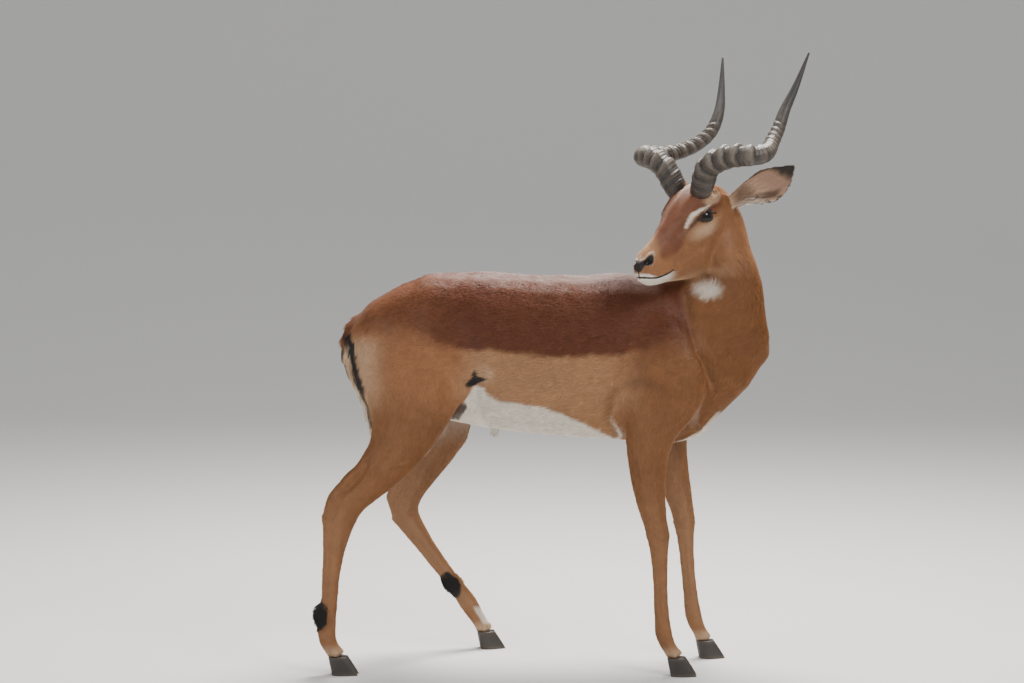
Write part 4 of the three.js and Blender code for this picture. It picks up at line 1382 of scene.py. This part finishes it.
def make_eye(side, material):
    rows, sides = 40, 56
    polar = np.linspace(0, math.pi, rows + 2)[1:-1]
    turn = np.linspace(0, 2 * math.pi, sides, endpoint=False)
    out, fore, up = eye_frame(side, 0.0)
    p, a = np.meshgrid(polar, turn, indexing="ij")
    bulge = 1 + 0.045 * np.exp(-((p / 0.62) ** 2))
    x, y = np.sin(p) * np.cos(a), np.sin(p) * np.sin(a)
    ball = x[..., None] * fore + y[..., None] * up + np.cos(p)[..., None] * out
    ball = EYE_R * bulge[..., None] * ball
    rings = from_head((ball + eye_centre(side)).reshape(-1, 3)).reshape(ball.shape)
    points, faces = tube(rings[::side])
    mesh = new_mesh("eyeball_" + side_name(side), points, faces)
    rel = to_head(points) - eye_centre(side)
    u, v, w = dot(rel, fore), dot(rel, up), dot(rel, out)
    paint(mesh, "tint", mix(
        plain(EYE_DARK, points),
        (EYE_IRIS, step(14.6, 13.0, np.hypot(u, v))),
        (EYE_PUPIL, step(1.15, 0.92, np.hypot(u / 9.5, v / 5.2))),
        (EYE_BACK, step(4, 0, w)),
    ))
    add_piece(mesh.name, mesh, material, ["eye_" + side_name(side)])


def make_lashes(material):
    """The dark lashes of the upper lids."""
    roots, ways, normals, longs = [], [], [], []
    for side in (1, -1):
        out, fore, up = eye_frame(side, LID_LEAN)
        for k in range(LASHES):
            share = -0.42 + 0.9 * k / (LASHES - 1)
            u = share * LID_LENGTH
            v = LID_UP * (1 - abs(share) ** LID_SHAPE) ** (1 / LID_SHAPE) * 1.02 + 0.8
            du, dv = math.sin(u / EYE_R), math.sin(v / EYE_R)
            direction = fore * du + up * dv + out * math.sqrt(max(0.05, 1 - du * du - dv * dv))
            direction = unit(direction)
            roots.append(eye_centre(side) + direction * (EYE_R + 1.2))
            ways.append(unit(direction * 0.8 + up * 0.2 - fore * 0.45))
            normals.append(unit(up - direction * dot(up, direction)))
            longs.append(3.0 + 0.8 * math.sin(k * 2.1))
    sizes = (np.array(longs), *(np.full(len(roots), size) for size in (0.7, 0.2, 1.2)))
    make_tufts("lashes", from_head(np.array(roots)), np.array(normals) @ HEAD_TURN.T,
               np.array(ways) @ HEAD_TURN.T, sizes, plain(BLACK, roots), ["head"],
               material)


# ---------------------------------------------------------------- materials


def new_material(name):
    material = bpy.data.materials.new(name)
    material.use_nodes = True
    tree = material.node_tree
    return material, tree, tree.nodes["Principled BSDF"]


def node(tree, kind, **settings):
    made = tree.nodes.new(kind)
    for key, value in settings.items():
        setattr(made, key, value)
    return made


def tinted(tree, shader, attribute, scale, amount, stretch=(1, 1, 1)):
    """The piece's own colours, a little lighter and darker by a fine noise."""
    colour = node(tree, "ShaderNodeVertexColor", layer_name=attribute)
    place = node(tree, "ShaderNodeTexCoord")
    shape = node(tree, "ShaderNodeMapping")
    shape.inputs["Scale"].default_value = stretch
    grain = node(tree, "ShaderNodeTexNoise")
    grain.inputs["Scale"].default_value = scale
    grain.inputs["Detail"].default_value = 3
    tree.links.new(place.outputs["Object"], shape.inputs["Vector"])
    tree.links.new(shape.outputs["Vector"], grain.inputs["Vector"])
    span = node(tree, "ShaderNodeMapRange")
    span.inputs["To Min"].default_value = 1 - amount
    span.inputs["To Max"].default_value = 1 + amount
    tree.links.new(grain.outputs["Fac"], span.inputs["Value"])
    product = node(tree, "ShaderNodeVectorMath", operation="SCALE")
    tree.links.new(colour.outputs["Color"], product.inputs[0])
    tree.links.new(span.outputs["Result"], product.inputs["Scale"])
    tree.links.new(product.outputs["Vector"], shader.inputs["Base Color"])
    return grain


def roughened(tree, shader, grain, low, high):
    span = node(tree, "ShaderNodeMapRange")
    span.inputs["To Min"].default_value = low
    span.inputs["To Max"].default_value = high
    tree.links.new(grain.outputs["Fac"], span.inputs["Value"])
    tree.links.new(span.outputs["Result"], shader.inputs["Roughness"])


def bumped(tree, shader, grain, strength, distance):
    bump = node(tree, "ShaderNodeBump")
    bump.inputs["Strength"].default_value = strength
    bump.inputs["Distance"].default_value = distance
    tree.links.new(grain.outputs["Fac"], bump.inputs["Height"])
    tree.links.new(bump.outputs["Normal"], shader.inputs["Normal"])


def hair_material(name, scale, bump):
    material, tree, shader = new_material(name)
    grain = tinted(tree, shader, "coat", scale, 0.10)
    roughened(tree, shader, grain, 0.42, 0.62)
    if bump:
        bumped(tree, shader, grain, bump, 0.0008)
    shader.inputs["Specular IOR Level"].default_value = 0.35
    shader.inputs["Sheen Weight"].default_value = 0.10
    shader.inputs["Sheen Roughness"].default_value = 0.35
    shader.inputs["Sheen Tint"].default_value = (1.0, 0.92, 0.84, 1)
    return material


def horn_material():
    material, tree, shader = new_material("horn_keratin")
    grain = tinted(tree, shader, "tint", 260, 0.22, (1, 1, 0.5))
    roughened(tree, shader, grain, 0.34, 0.56)
    shader.inputs["Specular IOR Level"].default_value = 0.4
    bumped(tree, shader, grain, 0.5, 0.0006)
    return material


def hoof_material():
    material, tree, shader = new_material("hoof_keratin")
    grain = tinted(tree, shader, "tint", 420, 0.20, (1, 1, 4))
    roughened(tree, shader, grain, 0.35, 0.55)
    bumped(tree, shader, grain, 0.35, 0.0004)
    return material


def eye_material():
    material, tree, shader = new_material("wet_eye")
    grain = tinted(tree, shader, "tint", 500, 0.10)
    roughened(tree, shader, grain, 0.10, 0.15)
    shader.inputs["Specular IOR Level"].default_value = 0.2
    shader.inputs["Coat Weight"].default_value = 0.2
    shader.inputs["Coat Roughness"].default_value = 0.12
    return material


def floor_material():
    material, tree, shader = new_material("studio_floor")
    shader.inputs["Base Color"].default_value = (0.74, 0.73, 0.71, 1)
    shader.inputs["Roughness"].default_value = 0.9
    return material


# ---------------------------------------------------------------- the animal

skin_mesh = make_skin_mesh()
skin_points, skin_tri, skin_edges = vertices_of(skin_mesh), triangles_of(skin_mesh), edges_of(skin_mesh)
skin_normals = vertex_normals(skin_points, skin_tri)
ALL_FLESH = FLESH + ["eye_left", "eye_right"]
skin_node = np.array(ALL_FLESH)[nearest_nodes(skin_points, ALL_FLESH)]
skin_kind = np.array([kind_of(n) for n in ALL_FLESH])[[ALL_FLESH.index(n) for n in skin_node]]
skin_leg = np.array([next((leg for leg in LEG_NAMES if n.startswith(leg)), "") for n in ALL_FLESH])[
    [ALL_FLESH.index(n) for n in skin_node]]
skin_lie = lie_of_coat(skin_points, skin_normals, skin_kind, skin_leg, skin_edges)
skin_cup = cup_side(skin_points, skin_normals)
skin_colour = body_colour(skin_points, skin_kind, skin_leg, skin_cup)
paint(skin_mesh, "coat", skin_colour)

hide = hair_material("hide", 900, 0.5)
hair = hair_material("hair", 700, 0)
add_piece("skin", skin_mesh, hide, FLESH)
print("tufts", grow_coat(skin_points, skin_tri, skin_normals, skin_lie, skin_kind, skin_leg, hair))

horny, hooves, wet = horn_material(), hoof_material(), eye_material()
near_horns = np.where(np.linalg.norm(to_head(skin_points) - (HORN_ROOT[0], 0, HORN_ROOT[2]), axis=1) < 110)[0]
for side in (1, -1):
    print("root hair", make_root_hair(side, *make_horn(side, horny), hair))
    make_eye(side, wet)
for leg in LEG_NAMES:
    for where in ("inner", "outer"):
        make_claw(leg, where, hooves)

make_lashes(hair)

# the small tuft that hangs from the middle of the belly
SHEATH_AT = (-128.0, 0.0, 0.0)
under = np.where(np.hypot(skin_points[:, 0] - SHEATH_AT[0], skin_points[:, 1] - SHEATH_AT[1]) < 8)[0]
under = np.repeat(under[skin_points[under, 2] < skin_points[under, 2].min() + 12], 4)
count = len(under)
hang = unit(np.array((-0.25, 0.0, -1.0)) + 0.14 * (RNG.random((count, 3)) - 0.5))
outward = np.column_stack([np.zeros(count), np.where(np.arange(count) % 2, 1.0, -1.0), np.zeros(count)])
make_tufts(
    "sheath_tuft", skin_points[under] + 2.0 * outward + (0, 0, 3), outward, hang,
    (14 + 12 * RNG.random(count), np.full(count, 2.8), np.full(count, 1.0), np.full(count, 0.0)),
    np.tile(WHITE, (count, 1)), ["trunk"], hair,
)

# ---------------------------------------------------------------- the studio


def add_light(name, at, aim, size, power, colour=(1, 1, 1)):
    lamp = bpy.data.lights.new(name, "AREA")
    lamp.shape = "DISK"
    lamp.size = size
    lamp.energy = power
    lamp.color = colour
    made = bpy.data.objects.new(name, lamp)
    made.location = at
    made.rotation_euler = (Vector(aim) - Vector(at)).to_track_quat("-Z", "Y").to_euler()
    bpy.context.scene.collection.objects.link(made)


add_light("key", (2.4, -2.6, 3.2), (0.1, 0, 0.7), 1.8, 105, (1.0, 0.97, 0.93))
add_light("top", (0.3, 0.9, 3.3), (-0.05, 0, 0.8), 1.6, 240, (1.0, 0.97, 0.94))
add_light("fill", (-3.2, -3.0, 1.6), (-0.1, 0, 0.6), 2.6, 50, (0.95, 0.97, 1.0))

world = bpy.data.worlds.new("studio")
world.use_nodes = True
world.node_tree.nodes["Background"].inputs["Color"].default_value = (0.82, 0.83, 0.85, 1)
world.node_tree.nodes["Background"].inputs["Strength"].default_value = 0.62
bpy.context.scene.world = world

# the floor sweeps up behind the animal into a backdrop
SWEEP_AT, SWEEP_RADIUS, BACKDROP_TOP, BACKDROP_SIDE = 5.0, 5.0, 12.0, 20.0  # m
bend = np.linspace(0, math.pi / 2, 49)
curve = np.column_stack([SWEEP_AT + SWEEP_RADIUS * np.sin(bend), SWEEP_RADIUS * (1 - np.cos(bend))])
ends = np.array([(-12, 0), (SWEEP_AT - 0.1, 0)]), np.array([(SWEEP_AT + SWEEP_RADIUS, BACKDROP_TOP)])
outline = np.concatenate([ends[0], curve, ends[1]]) / MM
sweep_points = np.array([(x / MM, y, z) for y, z in outline for x in (-BACKDROP_SIDE, BACKDROP_SIDE)])
sweep_points = sweep_points + ORIGIN
first = np.arange(len(outline) - 1)[:, None] * 2
paper = new_mesh("backdrop", sweep_points, first + np.array((0, 1, 3, 2)))
paper.materials.append(floor_material())
floor = bpy.data.objects.new("backdrop", paper)
bpy.context.scene.collection.objects.link(floor)

lens = bpy.data.cameras.new("camera")
lens.sensor_width = 36
lens.lens = 77.84
camera = bpy.data.objects.new("camera", lens)
camera.location = (-0.1008, -4.5881, 0.9945)
camera.rotation_euler = (math.radians(90 - 3.915), 0, 0)
bpy.context.scene.collection.objects.link(camera)
bpy.context.scene.camera = camera
